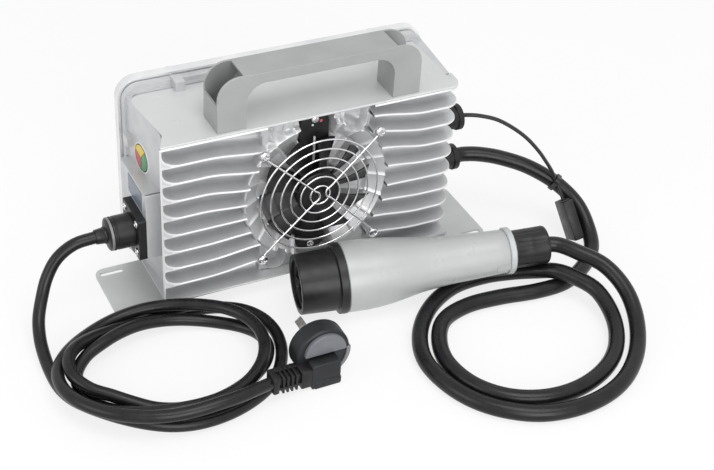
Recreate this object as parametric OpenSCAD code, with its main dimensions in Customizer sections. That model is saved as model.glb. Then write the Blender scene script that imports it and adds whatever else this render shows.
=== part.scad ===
// Fan-cooled battery charger: finned casting, carry handle, top-hat base plate, mains lead and DC lead.
// The fan side faces -Y, the mains inlet is on the -X end and the two output glands on the +X end.

/* [Output] */
// which sub-part to draw

/* [Casting] */
// half length of the casting at its front wall
body_x = 132; // [110:1:150]
// number of fin pitches between the base plate and the top of the casting
fin_levels = 9; // [7:1:11]
// distance from one fin to the next
fin_pitch = 17; // [12:0.5:22]
// thickness of a fin
fin_t = 2.4; // [1.6:0.2:4]
// depth of the fins in front of the casting's front wall
fin_d = 23.5; // [16:0.5:30]
// how far the fins stand out past the end walls
fin_over = 2; // [0:0.5:4]
// depth position of the stepped flange
flange_y = 84; // [70:1:100]
// wall thickness of the castings
wall_t = 4; // [2.5:0.5:6]
// outward draft of an end wall from front to flange
draft_x = 6; // [0:0.5:8]
// radius of the round clearing in the fins for the fan
well_r = 63; // [58:1:70]

/* [Rear shell] */
// half length of the rear shell's rim
rim_x = 142.5; // [136:0.5:150]
// top of the rear shell's rim
rim_top = 180; // [174:0.5:190]
// gap between the rim and the surface the charger stands on
rim_lift = 0.6; // [0.4:0.2:4]
// depth of the rear shell's rim
rim_d = 9; // [6:0.5:14]
// depth of the shallow pan behind the rim
pan_d = 8.5; // [4:0.5:20]

/* [Base plate] */
// half length of the base plate over both ears
ear_x = 176.5; // [160:0.5:190]
// height of the raised middle of the base plate
base_lift = 17; // [12:0.5:20]
// thickness of the base plate
base_t = 2; // [1.5:0.5:4]
// width of the base plate, front to back
base_d = 83.5; // [70:0.5:90]
// length of a mounting slot over its round ends
slot_l = 21; // [12:0.5:26]
// width of a mounting slot
slot_w = 5.2; // [4:0.1:7]
// distance of the slots from the middle, along the length
slot_x = 162; // [150:0.5:168]
// distance between the front and the rear slots
slot_dy = 68; // [50:1:72]

/* [Handle] */
// half width of the handle over its side webs
handle_x = 90.75; // [70:0.25:100]
// half width of the hand opening
grip_x = 66; // [50:0.5:76]
// height of the handle above the top sheet
handle_h = 48; // [35:1:70]
// depth of the handle, front plate to back plate
handle_d = 30; // [20:1:40]
// height of the grip bar
grip_h = 9; // [6:0.5:20]
// sheet thickness of the handle and the top sheet
sheet_t = 2; // [1.5:0.5:3]

/* [Fan and guard] */
// radius over the blade tips
fan_r = 50; // [40:1:58]
// radius of the hub
hub_r = 20; // [14:0.5:26]
// number of blades
blade_n = 10; // [5:1:13]
// half the spacing of the guard's screws
guard_s = 52.5; // [41:0.25:60]
// radius of the innermost guard ring
ring_r0 = 10; // [6:0.5:14]
// distance from one guard ring to the next
ring_p = 8.9; // [6:0.1:12]
// diameter of the guard's wire
wire_d = 1.9; // [1.4:0.1:3]

/* [Mains inlet] */
// width and height of the square inlet flange
inlet_w = 40; // [30:1:50]
// thickness of the inlet flange
inlet_t = 7; // [3:0.5:10]
// radius of the coupling
coupling_r = 14.5; // [10:0.5:18]
// diameter of the mains lead
ac_d = 10.5; // [7:0.5:12]

/* [Output leads] */
// diameter of the DC cable
dc_d = 14; // [10:0.5:18]
// diameter of the signal lead
sig_d = 5; // [3:0.5:8]
// radius of a cable gland
gland_r = 12; // [8:0.5:16]
// height of the DC gland
dc_z = 67; // [40:1:90]
// height of the signal gland
sig_z = 110; // [90:1:140]

/* [Fits] */
// radial clearance of a screw in its hole
screw_gap = 0.1; // [0.05:0.05:0.4]
// clearance between the base plate's rear edge and the casting's flange
base_gap = 0.25; // [0.1:0.05:1]
// radial clearance of the fan's shaft in its bearing
shaft_gap = 0.04; // [0.02:0.01:0.1]

/* [Hidden] */
$fn = 64;
// the frame's origin is under the middle of the object, this far behind the fin fronts
mid_y = 53.25;
top_z = base_lift + fin_levels * fin_pitch;
sheet_top = top_z + sheet_t;
fan_z = base_lift + fin_levels * fin_pitch / 2;
fan_bore_r = 1.5;
rim_y = flange_y + 11.5;
back_y = rim_y + rim_d + pan_d;
// front edge of the base plate, and the screw rows of the base plate and of the top sheet
base_y0 = 0.2;
base_rows = [32, min(base_y0 + base_d, flange_y - 0.3) - 7.7];
sheet_rows = [32, flange_y - 8];
port_y = 43;
inlet_z = 69;
block_x = 145.7;
inlet_face = -block_x - inlet_t;
screw_r = 1.9;
// outer and inner seats of the glands on the casting's boss
gland_x = body_x + 3.2;
gland_nut_x = body_x - wall_t - 1;
// turn of the drafted end walls
wall_turn = atan(draft_x / (flange_y + 3 - fin_d));
// depth position of the indicator disc's middle
lens_y = 59;
// middles of the shell screws, as length and height
shell_pts = [[-94.5, 175.6], [94.5, 175.6], [-137.8, 131.8], [137.8, 131.8],
             [-137.8, 34], [137.8, 34], [-90, 8.6], [90, 8.6]];
// how far a fin's end bends up next to the fan, from the second level down to the lowest
bend_l = [-5, -6, -5, -3, 0, 2, 4, 5];
bend_r = [7, 8, 7, 4, 1, 3, 5, 5];
// DC plug: middle of its flange ring, and its turn in plan and rise
plug_o = [2, -40, 31.2];
plug_yaw = -10.8;
plug_rise = 2.5;

// mains lead from the coupling's sleeve to the coil
ac_pts = [[-184, 43, 69], [-196, 43, 68.6], [-207, 42.5, 65.5], [-219, 41, 58], [-228, 38, 47],
          [-235, 32, 35], [-241, 23, 24], [-246, 11, 14], [-249, -4, 8], [-251, -22, 5.5], [-252, -40, 5.3]];
// middles of the coil's outermost strand and of its innermost one, seen from above
coil_rim = [[-247, -56], [-238, -78], [-224, -96], [-206, -112], [-184, -126], [-160, -134],
            [-134, -135], [-112, -130], [-94, -121], [-83, -106], [-69, -80], [-62, -54], [-65, -31],
            [-78, -16], [-100, -8], [-122, -6.5], [-180, -6.5], [-200, -6], [-222, -9], [-240, -28]];
coil_eye = [[-220, -40], [-222, -58], [-208, -82], [-186, -101], [-160, -110], [-132, -108],
            [-110, -96], [-95, -74], [-90, -50], [-100, -36], [-120, -24], [-146, -19], [-172, -20],
            [-200, -26]];
coil_h = 25;
// DC cable from its gland to the back nut of the plug
dc_pts = [[158, 43, 67], [168, 42.4, 67], [182, 37.5, 66.5], [200, 29, 63.5], [222, 15, 57],
          [243, -2, 45], [256, -22, 31], [257, -43, 18], [249, -64, 9.5], [228, -82, 7.2], [200, -95, 7.2], [170, -96, 7.2],
          [136, -91, 7.2], [104, -90, 7.2], [76, -99, 7.2], [59, -120, 7.2], [51, -148, 7.2],
          [57, -179, 7.2], [76, -203, 7.2], [104, -216, 7.2], [136, -217, 7.2], [168, -206, 7.2],
          [193, -186, 7.5], [209, -158, 11], [211, -128, 18.5], [200, -106, 21.6], [190, -92, 21],
          [180, -80, 15.2], [162, -67, 9.5], [136, -60, 7.2], [104, -63, 7.2], [72, -80, 7.2],
          [47, -108, 7.2], [35, -142, 7.2], [41, -180, 7.2], [60, -210, 7.2], [92, -231, 7.2],
          [132, -236, 7.2], [170, -226, 7.2], [202, -202, 7.5], [223, -172, 13], [230, -143, 24],
          [224, -116, 34], [208, -94, 38.6], [198, -81, 39.5], [188, -75.4, 39.4]];
// signal lead from its gland to the in-line box
sig_pts = [[158, 43, 110], [166, 42, 110], [178, 37.5, 109], [192, 30, 106], [205, 21, 99],
           [216, 13, 90], [225, 5, 79], [230.5, -0.5, 70], [235, -4.5, 62], [238.2, -7.5, 54.5],
           [239.8, -11.5, 48.8], [239.6, -17.5, 44.6], [239.5, -23.5, 39.4]];
// where the tie holds the signal lead on the DC cable, and its turn and pitch there
tie_at = [243, -2, 45];
tie_turn = [27.3, -47.4];
// middle of the in-line box and its roll, pitch and turn
box_at = [242, -34.2, 23.8];
box_turn = [21, 55, -77];

// moves a piece from the fin-front datum to the object's origin
module place() translate([0, -mid_y, 0]) children();

// a rectangle with round corners
module round_rect(x0, x1, y0, y1, r) {
  translate([x0 + r, y0]) square([x1 - x0 - 2 * r, y1 - y0]);
  translate([x0, y0 + r]) square([x1 - x0, y1 - y0 - 2 * r]);
  for (x = [x0 + r, x1 - r], y = [y0 + r, y1 - r]) translate([x, y]) circle(r);
}

// extrudes an outline drawn in length and height along the depth, from y0 to y1
module along_y(y0, y1) translate([0, y1, 0]) rotate([90, 0, 0]) linear_extrude(y1 - y0) children();

// a round bar along the depth
module bar_y(x, z, r, y0, y1) translate([x, y1, z]) rotate([90, 0, 0]) cylinder(r = r, h = y1 - y0);

// a round bar along the length
module bar_x(y, z, r, x0, x1) translate([x0, y, z]) rotate([0, 90, 0]) cylinder(r = r, h = x1 - x0);

// a pan-head screw at the origin, its head towards -Y and its shank towards +Y
module screw_y(head_r, head_h, shank) {
  bar_y(0, 0, head_r, -head_h, 0);
  bar_y(0, 0, screw_r, -0.5, shank);
}

// smooth step from 0 to 1
function ease(t) = let (u = min(1, max(0, t))) u * u * (3 - 2 * u);

// height of a fin's middle line at distance x from the middle, with a bend of b next to the fan
function fin_h(x, b) = b * ease((104 - x) / 46);

// one fin's front view: side is -1 or 1, k its level
module fin_front(side, k, b) {
  z = top_z - k * fin_pitch - fin_t;
  xs = [for (i = [0:8]) well_r - 18 + i * 8];
  ends = concat([for (x = xs) [x, z + fin_h(x, b)]], [[body_x + fin_over, z]],
                [[body_x + fin_over, z + fin_t]],
                [for (i = [8:-1:0]) [xs[i], z + fin_t + fin_h(xs[i], b)]]);
  polygon([for (p = ends) [side * p[0], p[1]]]);
}

// plan of the fins, round at the two front corners
module fin_plan() {
  x = body_x + fin_over;
  r = 15;
  translate([-x, r]) square([2 * x, fin_d - r + 1]);
  translate([-x + r, 0]) square([2 * (x - r), fin_d]);
  for (s = [-1, 1]) translate([s * (x - r), r]) circle(r);
}

module fin_pack() {
  difference() {
    intersection() {
      translate([0, 0, base_lift]) linear_extrude(top_z - base_lift) fin_plan();
      union() {
        along_y(-1, fin_d + 1) {
          for (k = [1:fin_levels - 1]) {
            fin_front(-1, k, bend_l[k - 1]);
            fin_front(1, k, bend_r[k - 1]);
          }
          translate([-body_x - fin_over, top_z - fin_t]) square([2 * (body_x + fin_over), fin_t]);
        }
      }
    }
    bar_y(0, fan_z, well_r, -1, fin_d);
  }
}

// the two solids of the casting's hollow box: outside at o = 0, inside at o = wall_t
module box_plan(o) {
  polygon([[-body_x + o, fin_d + o], [body_x - o, fin_d + o],
           [body_x + draft_x - o, flange_y + (o > 0 ? 12 : 3)],
           [-body_x - draft_x + o, flange_y + (o > 0 ? 12 : 3)]]);
}

module front_shell() color([0.74, 0.75, 0.77]) place() {
  difference() {
    union() {
      translate([0, 0, base_lift]) linear_extrude(top_z - base_lift) box_plan(0);
      along_y(flange_y, flange_y + 3)
        round_rect(-rim_x + 4.5, rim_x - 4.5, 6, top_z + 3.5, 12);
      along_y(flange_y + 3, rim_y - 1.2)
        round_rect(-rim_x + 2.4, rim_x - 2.4, 2.6, top_z + 7.4, 15);
      fin_pack();
      translate([-block_x, fin_d, 49]) cube([block_x - body_x + 4, flange_y + 2 - fin_d, 63.5]);
      for (s = [-1, 1]) {
        translate([s * 94.5 - 4.2, flange_y - 9, top_z - 1]) cube([8.4, 14, 11.8]);
        for (z = [34, 131.8]) translate([s * 137 - 5, flange_y - 8, z - 4.2]) cube([10, 12, 8.4]);
      }
      for (x = [-guard_s, guard_s], z = [-guard_s, guard_s]) bar_y(x, fan_z + z, 5, -2.1, fin_d + 1);
      for (a = [12:24:348]) translate([0, 0, fan_z]) rotate([0, a, 0])
        translate([52.5, 17.7, -1.1]) cube([12.5, fin_d - 16.7, 2.2]);
      for (z = [159.5, 31.5]) bar_y(0, z, 6, 17.5, fin_d + 1);
      for (z = [sig_z, dc_z]) bar_x(port_y, z, gland_r + 1.5, gland_nut_x + 3, gland_x);
    }
    translate([0, 0, base_lift + wall_t]) linear_extrude(top_z - base_lift - 2 * wall_t) box_plan(wall_t);
    for (p = shell_pts) bar_y(p[0], p[1], screw_r + screw_gap, 80, rim_y);
    for (x = [-guard_s, guard_s], z = [-guard_s, guard_s])
      bar_y(x, fan_z + z, screw_r + screw_gap, -3, 12);
    for (z = [159.5, 31.5]) bar_y(0, z, screw_r + screw_gap, 10, 25.5);
    bar_x(port_y, inlet_z, 12.2, -150, -124);
    for (y = [-14, 14], z = [-14, 14])
      bar_x(port_y + y, inlet_z + z, screw_r + screw_gap, -150, -134);
    for (z = [sig_z, dc_z]) bar_x(port_y, z, 9 + screw_gap, 120, 150);
    base_notch();
    for (x = [-60, 60], y = base_rows)
      translate([x, y, base_lift - 1]) cylinder(r = screw_r + screw_gap, h = wall_t + 2);
    for (x = [-114, 114], y = sheet_rows)
      translate([x, y, top_z - wall_t - 1]) cylinder(r = screw_r + screw_gap, h = wall_t + 2);
    for (x = [-78, 78], y = [12, 24])
      translate([x, y, top_z - wall_t - 2]) cylinder(r = screw_r + screw_gap, h = wall_t + 3);
    bar_y(9, 150, 2.2, 20, 30);
  }
}

module rear_shell() color([0.78, 0.79, 0.81]) place() {
  difference() {
    union() {
      along_y(rim_y, rim_y + rim_d) round_rect(-rim_x, rim_x, rim_lift, rim_top, 18);
      along_y(rim_y + rim_d, back_y) round_rect(-rim_x + 9, rim_x - 9, 13, rim_top - 9, 12);
    }
    along_y(rim_y - 1, back_y - 3.5)
      round_rect(-rim_x + 13, rim_x - 13, 21, rim_top - 14, 9);
    for (p = shell_pts) bar_y(p[0], p[1], screw_r + screw_gap, rim_y - 1, rim_y + rim_d + 1);
    for (x = [-90:30:90]) along_y(back_y - 1.2, back_y + 1) round_rect(x - 6, x + 6, 30, 152, 5.9);
  }
}

module shell_gasket() color([0.16, 0.16, 0.17]) place() {
  difference() {
    along_y(rim_y - 1.2, rim_y) round_rect(-rim_x + 3, rim_x - 3, 3.2, top_z + 6.8, 14.5);
    along_y(rim_y - 2, rim_y + 1) round_rect(-rim_x + 12, rim_x - 12, 20, top_z - 3, 9);
    for (p = shell_pts) bar_y(p[0], p[1], screw_r + screw_gap, rim_y - 2, rim_y + 1);
  }
}

module shell_screws() color([0.62, 0.63, 0.65]) place() {
  for (p = shell_pts) translate([p[0], rim_y + rim_d, p[1]]) rotate([0, 0, 180]) screw_y(3.4, 2.4, 22);
}

module top_sheet() color([0.83, 0.83, 0.84]) place() {
  difference() {
    translate([0, 0, top_z]) linear_extrude(sheet_t) round_rect(-127, 127, 0.4, flange_y - 0.4, 3);
    for (x = [-114, 114], y = sheet_rows)
      translate([x, y, top_z - 1]) cylinder(r = screw_r + screw_gap, h = sheet_t + 2);
    for (x = [-78, 78], y = [12, 24])
      translate([x, y, top_z - 1]) cylinder(r = screw_r + screw_gap, h = sheet_t + 2);
    for (x = [-94.5, 94.5]) translate([x - 4.4, flange_y - 9.2, top_z - 1]) cube([8.8, 12, sheet_t + 2]);
  }
}

// a countersunk screw along the height, its head flush at the origin
module flat_screw(shank) {
  translate([0, 0, -1.2]) cylinder(r = 3.2, h = 1.4);
  translate([0, 0, -shank]) cylinder(r = screw_r, h = shank);
}

module sheet_screws() color([0.66, 0.67, 0.69]) place() {
  for (x = [-114, 114], y = sheet_rows) translate([x, y, sheet_top + 1.2]) flat_screw(8.4);
}

module handle_frame() {
  round_rect(-handle_x, handle_x, sheet_top - 30, sheet_top + handle_h, 19);
}

module grip_window(o) {
  round_rect(-grip_x - o, grip_x + o, sheet_top - 30, sheet_top + handle_h - grip_h + o, 17 + o);
}

module handle() color([0.66, 0.67, 0.68]) place() {
  y0 = 3;
  y1 = y0 + handle_d;
  intersection() {
    translate([-handle_x, 0, sheet_top]) cube([2 * handle_x, 60, handle_h]);
    union() {
      for (y = [y0, y1 - sheet_t]) along_y(y, y + sheet_t) difference() {
        handle_frame();
        grip_window(0);
      }
      along_y(y0, y1) difference() {
        grip_window(sheet_t);
        grip_window(0);
      }
      translate([-grip_x - 2, y0, sheet_top + handle_h - sheet_t]) cube([2 * grip_x + 4, handle_d, sheet_t]);
      for (s = [-1, 1]) {
        translate([s * (handle_x - sheet_t / 2) - sheet_t / 2, y0, sheet_top])
          cube([sheet_t, handle_d, 24]);
        difference() {
          translate([s * (handle_x + grip_x) / 2 - 12.3, y0, sheet_top]) cube([24.6, handle_d, sheet_t]);
          for (y = [12, 24]) translate([s * 78, y, sheet_top - 1])
            cylinder(r = screw_r + screw_gap, h = sheet_t + 2);
        }
      }
    }
  }
}

module handle_screws() color([0.66, 0.67, 0.69]) place() {
  for (x = [-78, 78], y = [12, 24]) translate([x, y, sheet_top + sheet_t]) {
    cylinder(r = 3.6, h = 2.4);
    translate([0, 0, -9]) cylinder(r = screw_r, h = 9.5);
  }
}

module slot_cut(x, y) {
  translate([x, y, -1]) linear_extrude(base_lift + 2) {
    translate([-(slot_l - slot_w) / 2, -slot_w / 2]) square([slot_l - slot_w, slot_w]);
    for (s = [-1, 1]) translate([s * (slot_l - slot_w) / 2, 0]) circle(slot_w / 2);
  }
}

// the room that the base plate takes where it reaches under the casting and its flange
module base_notch() {
  reach = base_d + base_gap + 1;
  translate([-body_x - base_gap, base_y0 - 1, base_lift - base_t - base_gap])
    cube([2 * (body_x + base_gap), reach, base_t + base_gap]);
  for (s = [-1, 1]) translate([s * (body_x - base_t / 2) - base_t / 2 - base_gap, base_y0 - 1, -1])
    cube([base_t + 2 * base_gap, reach, base_lift + 1]);
}

module base_plate() color([0.8, 0.8, 0.81]) place() {
  difference() {
    union() {
      translate([-body_x, base_y0, base_lift - base_t]) cube([2 * body_x, base_d, base_t]);
      for (s = [-1, 1]) {
        translate([s * (body_x - base_t / 2) - base_t / 2, base_y0, 0]) cube([base_t, base_d, base_lift]);
        linear_extrude(base_t) intersection() {
          translate([s * ear_x / 2 - ear_x / 2, base_y0]) square([ear_x, base_d]);
          round_rect(-ear_x, ear_x, base_y0, base_y0 + base_d, 9);
          translate([s * (ear_x + body_x - 1) / 2 - 30, -10]) square([60, 120]);
        }
      }
    }
    translate([-body_x + base_t, -1, -1]) cube([2 * (body_x - base_t), base_d + 4, base_lift - base_t + 1]);
    for (s = [-1, 1], y = [base_y0 + base_d / 2 - slot_dy / 2, base_y0 + base_d / 2 + slot_dy / 2])
      slot_cut(s * slot_x, y);
    for (x = [-60, 60], y = base_rows)
      translate([x, y, base_lift - base_t - 1]) cylinder(r = screw_r + screw_gap, h = base_t + 2);
  }
}

module base_screws() color([0.66, 0.67, 0.69]) place() {
  for (x = [-60, 60], y = base_rows) translate([x, y, base_lift - base_t]) {
    translate([0, 0, -2.4]) cylinder(r = 3.6, h = 2.4);
    translate([0, 0, -0.5]) cylinder(r = screw_r, h = 9);
  }
}

module fan_bracket() color([0.11, 0.11, 0.12]) place() {
  difference() {
    union() {
      along_y(14, 17.5) round_rect(-13, 13, 27.5, 163.5, 7);
      bar_y(0, fan_z, 17, 12.6, 14.5);
    }
    for (z = [159.5, 31.5]) bar_y(0, z, screw_r + screw_gap, 10, 20);
    bar_y(0, fan_z, 4, 10, 20);
  }
}

module bracket_screws() color([0.7, 0.71, 0.72]) place() {
  for (z = [159.5, 31.5]) translate([0, 14, z]) screw_y(3.6, 2.2, 11);
}

module fan_motor() color([0.14, 0.14, 0.15]) place() {
  difference() {
    union() {
      bar_y(0, fan_z, 14, 4.2, 12.6);
      bar_y(0, fan_z, 4, 4.2, 17);
    }
    bar_y(0, fan_z, fan_bore_r + shaft_gap, 3, 16);
  }
}

module fan_blade() {
  intersection() {
    translate([hub_r - 1.2, 0, 0]) rotate([-34, 0, 0]) translate([0, -0.8, -10])
      cube([fan_r, 1.6, 20]);
    bar_y(0, 0, fan_r, -5.4, 5.6);
  }
}

module fan_rotor() color([0.09, 0.09, 0.1]) place() {
  union() {
    difference() {
      bar_y(0, fan_z, hub_r, 0.6, 11.4);
      bar_y(0, fan_z, hub_r - 2.2, 2.8, 12);
    }
    bar_y(0, fan_z, fan_bore_r, 2, 15.4);
    for (i = [0:blade_n - 1]) translate([0, 6.4, fan_z]) rotate([0, 15 + i * 360 / blade_n, 0])
      fan_blade();
  }
}

// a straight wire from a to b with round ends
module wire(a, b, r) {
  v = b - a;
  translate(a) rotate([0, acos(v[2] / norm(v)), atan2(v[1], v[0])]) cylinder(r = r, h = norm(v));
  translate(b) sphere(r);
}

module fan_guard() color([0.86, 0.87, 0.88]) place() {
  r = wire_d / 2;
  c = [0, -3.1, fan_z];
  for (k = [0:5]) translate([0, -1.9, fan_z]) rotate([90, 0, 0])
    rotate_extrude() translate([ring_r0 + k * ring_p, 0]) circle(r, $fn = 24);
  for (s = [-1, 1], t = [-1, 1]) {
    wire(c + [s * guard_s - s * 4, 0, t * (guard_s - 4)], c + [s * 3, 0, t * 3], 1.1);
    wire(c + [s * 3, 0, t * 3], c + [s * 1.6, 0, 0], 1.1);
    translate(c + [s * guard_s, 0, t * guard_s]) rotate([90, 0, 0])
      rotate_extrude() translate([3.3, 0]) circle(1.0, $fn = 24);
  }
}

module guard_screws() color([0.85, 0.86, 0.87]) place() {
  for (x = [-guard_s, guard_s], z = [-guard_s, guard_s]) translate([x, -4.1, fan_z + z]) {
    intersection() {
      translate([0, 7, 0]) sphere(9.4);
      bar_y(0, 0, 4.6, -4, 0);
    }
    bar_y(0, 0, screw_r, -0.5, 15);
  }
}

module inlet_flange() color([0.13, 0.13, 0.14]) place() {
  difference() {
    union() {
      translate([-block_x, port_y, inlet_z]) rotate([0, -90, 0]) linear_extrude(inlet_t)
        round_rect(-inlet_w / 2, inlet_w / 2, -inlet_w / 2, inlet_w / 2, 2);
      bar_x(port_y, inlet_z, 12, -block_x - 1, -118);
    }
    for (y = [-14, 14], z = [-14, 14])
      bar_x(port_y + y, inlet_z + z, screw_r + screw_gap, -160, -140);
  }
}

module inlet_screws() color([0.75, 0.76, 0.77]) place() {
  for (y = [-14, 14], z = [-14, 14]) translate([inlet_face, port_y + y, inlet_z + z])
    rotate([0, 0, -90]) screw_y(3.3, 1.4, 16);
}

module inlet_coupling() color([0.15, 0.15, 0.17]) place() {
  difference() {
    bar_x(port_y, inlet_z, coupling_r, -170.5, inlet_face);
    difference() {
      bar_x(port_y, inlet_z, coupling_r + 1, -168.6, -167.2);
      bar_x(port_y, inlet_z, coupling_r - 0.7, -169, -166);
    }
  }
}

module coupling_cap() color([0.2, 0.2, 0.21]) place() {
  bar_x(port_y, inlet_z, coupling_r - 0.4, -175.5, -170.5);
  translate([-175.5, port_y, inlet_z]) rotate([0, -90, 0]) cylinder(r1 = 7, r2 = 6, h = 8.5);
}

module inlet_panel() color([0.42, 0.46, 0.52]) place()
  translate([-block_x - 0.4, 33, 92]) cube([0.4, 33, 18]);

// the round indicator on the sloping end wall
module on_end_wall() translate([-body_x - (lens_y - fin_d) * tan(wall_turn), lens_y, 126.3])
  rotate([0, 0, wall_turn]) rotate([0, -90, 0]) children();

// a sector of the indicator disc, between two angles
module lens_sector(a0, a1) {
  on_end_wall() linear_extrude(1.1) intersection() {
    circle(11.6);
    polygon([[0.35 * cos((a0 + a1) / 2), 0.35 * sin((a0 + a1) / 2)],
             for (i = [0:6]) 16 * [cos(a0 + 1.5 + i * (a1 - a0 - 3) / 6), sin(a0 + 1.5 + i * (a1 - a0 - 3) / 6)]]);
  }
}

module lens_ring() color([0.88, 0.88, 0.88]) place() on_end_wall() difference() {
  cylinder(r = 13.5, h = 0.8);
  translate([0, 0, -1]) cylinder(r = 11.8, h = 3);
}

module lens_yellow() color([0.86, 0.76, 0.2]) place() lens_sector(-62, 58);

module lens_red() color([0.72, 0.3, 0.36]) place() lens_sector(58, 178);

module lens_green() color([0.24, 0.58, 0.36]) place() lens_sector(178, 298);

module gland(z) {
  bar_x(port_y, z, gland_r - 1.4, gland_x, 153.5);
  bar_x(port_y, z, gland_r - 0.2, gland_x, 142);
  bar_x(port_y, z, gland_r, 153, 158);
  bar_x(port_y, z, 9, gland_nut_x - 7, gland_x + 1);
  bar_x(port_y, z, gland_r, gland_nut_x - 5.5, gland_nut_x);
}

module signal_gland() color([0.16, 0.16, 0.17]) place() gland(sig_z);

module dc_gland() color([0.16, 0.16, 0.17]) place() gland(dc_z);

// rings of a tube along the points: each ring faces the mean of its two neighbours' directions
function unit(v) = v / norm(v);
function dir_at(p, i) = unit(p[min(i + 1, len(p) - 1)] - p[max(i - 1, 0)]);
function ring_pts(c, d, r, n) = let (u = unit(cross(d, [0.02, 0.03, 1])), v = cross(d, u))
  [for (j = [0:n - 1]) c + r * cos(j * 360 / n) * u + r * sin(j * 360 / n) * v];

module tube(p, r, n) {
  m = len(p);
  pts = [for (i = [0:m - 1]) each ring_pts(p[i], dir_at(p, i), r, n)];
  side = [for (i = [0:m - 2], j = [0:n - 1])
    [i * n + j, i * n + (j + 1) % n, (i + 1) * n + (j + 1) % n, (i + 1) * n + j]];
  tris = [for (q = side) each [[q[0], q[1], q[2]], [q[0], q[2], q[3]]]];
  polyhedron(points = pts, faces = concat([[for (j = [n - 1:-1:0]) j]], tris,
    [[for (j = [0:n - 1]) (m - 1) * n + j]]));
}

module signal_lead() color([0.1, 0.1, 0.11]) place() tube(sig_pts, sig_d / 2, 8);

module inline_box() color([0.12, 0.12, 0.13]) place() translate(box_at) rotate(box_turn)
  translate([-19, -5, -11.5]) cube([38, 10, 23]);

// outline of the band round the cable and the lead beside it, grown by o
module tie_outline(o) hull() {
  circle(dc_d / 2 + o, $fn = 32);
  translate([-7.3, -7.8]) circle(sig_d / 2 + o, $fn = 32);
}

module cable_ties() color([0.12, 0.12, 0.13]) place()
  translate(tie_at) rotate([0, tie_turn[0], tie_turn[1]]) rotate([0, 90, 0]) {
    translate([0, 0, -2]) linear_extrude(4) difference() {
      tie_outline(1.4);
      tie_outline(0.3);
    }
    translate([3, 6.8, -2.5]) cube([4.5, 4, 5]);
  }

module dc_cable() color([0.1, 0.1, 0.11]) place() tube(dc_pts, dc_d / 2, 10);

// the DC plug's own frame: its length along X, from the open front at -37 to the nut's end
module plug_frame() translate(plug_o) rotate([0, 0, plug_yaw]) rotate([0, -plug_rise, 0]) children();

// a turned solid of the plug: points are distance along it and radius
module turned(p) plug_frame() rotate([0, 90, 0]) rotate([0, 0, 90])
  rotate_extrude() polygon([for (q = p) [q[1], q[0]]]);

module plug_collar() color([0.13, 0.13, 0.14]) place()
  turned([[-37, 21.5], [-37, 26], [-4, 27.2], [-4, 30.6], [3, 31], [3, 20], [-12, 20], [-12, 21.5]]);

module plug_insert() color([0.1, 0.1, 0.11]) place() difference() {
  turned([[-34, 0], [-34, 21.5], [-12, 21.5], [-12, 0]]);
  plug_frame() for (a = [90, 210, 330])
    translate([-35, 11 * cos(a), 11 * sin(a)]) rotate([0, 90, 0]) cylinder(r = 4.4, h = 18);
}

module plug_contacts() color([0.8, 0.68, 0.38]) place() plug_frame() for (a = [90, 210, 330])
  translate([-31, 11 * cos(a), 11 * sin(a)]) rotate([0, 90, 0]) difference() {
    cylinder(r = 4.4, h = 14);
    translate([0, 0, -1]) cylinder(r = 3.1, h = 12);
  }

module plug_handle() color([0.74, 0.76, 0.75]) place()
  turned([[3, 18], [3, 30.6], [30, 29.4], [52, 26.4], [72, 23.6], [110, 21.2], [150, 19], [150, 14], [3, 18]]);

module plug_ring() color([0.72, 0.74, 0.74]) place()
  turned([[150, 8], [150, 20.4], [155.5, 20.6], [156, 19.4], [156, 8]]);

module plug_nut() color([0.12, 0.12, 0.13]) place()
  turned([[156, 8], [156, 16.8], [187, 17.2], [188.4, 16], [188.4, 7], [170, 7], [170, 8]]);

module ac_lead() color([0.09, 0.09, 0.1]) place() tube(ac_pts, ac_d / 2, 8);

// the outline round a ring of strand middles, with half the strand's width around them
module strand_outline(pts, r) hull() for (p = pts) translate(p) circle(r, $fn = 16);

module ac_coil() color([0.09, 0.09, 0.1]) place() linear_extrude(coil_h) difference() {
  strand_outline(coil_rim, ac_d / 2);
  strand_outline(coil_eye, ac_d / 2);
}

// the mains plug's frame: its cord entry along X, its pins towards +Y
module mains_frame() translate([-62, -120, 0]) children();

module mains_relief() color([0.13, 0.13, 0.14]) place() mains_frame()
  translate([0, 0, 12]) rotate([0, -90, 0]) cylinder(r1 = 9.6, r2 = 7.4, h = 32);

module mains_plug() color([0.13, 0.13, 0.14]) place() mains_frame() {
  difference() {
    translate([0, -9, 0.2]) cube([25, 17, 26]);
    translate([-1, -9, 20]) rotate([38, 0, 0]) translate([0, -20, 0]) cube([30, 20, 30]);
  }
  difference() {
    intersection() {
      bar_y(14, 24.4, 24, 2, 20);
      translate([-20, 0, 0.2]) cube([70, 30, 60]);
    }
    bar_x(0, 12, 10, -12, 0);
  }
}

// a flat half disc on the head's face, above the block
module mains_cap() color([0.42, 0.43, 0.45]) place() mains_frame() intersection() {
  bar_y(15, 28, 18.5, -1.5, 2);
  translate([-10, -5, 28]) cube([50, 10, 30]);
}

module mains_pins() color([0.6, 0.61, 0.63]) place() mains_frame() {
  for (a = [-1, 1]) translate([14 + a * 8, 20, 22]) rotate([0, a * 30, 0])
    translate([-0.9, 0, -3.2]) cube([1.8, 18, 6.4]);
  translate([14 - 0.9, 20, 32]) cube([1.8, 21, 6.4]);
}

module circuit_board() color([0.16, 0.36, 0.22]) place() difference() {
  along_y(48, 49.6) round_rect(-118, 118, 30, 158, 3);
  for (x = [-110, 110], z = [38, 150]) bar_y(x, z, screw_r + screw_gap, 47, 51);
}

module board_posts() color([0.7, 0.7, 0.72]) place()
  for (x = [-110, 110], z = [38, 150]) difference() {
    bar_y(x, z, 4.5, fin_d + wall_t, 48);
    bar_y(x, z, screw_r + screw_gap, 36, 49);
  }

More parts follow.
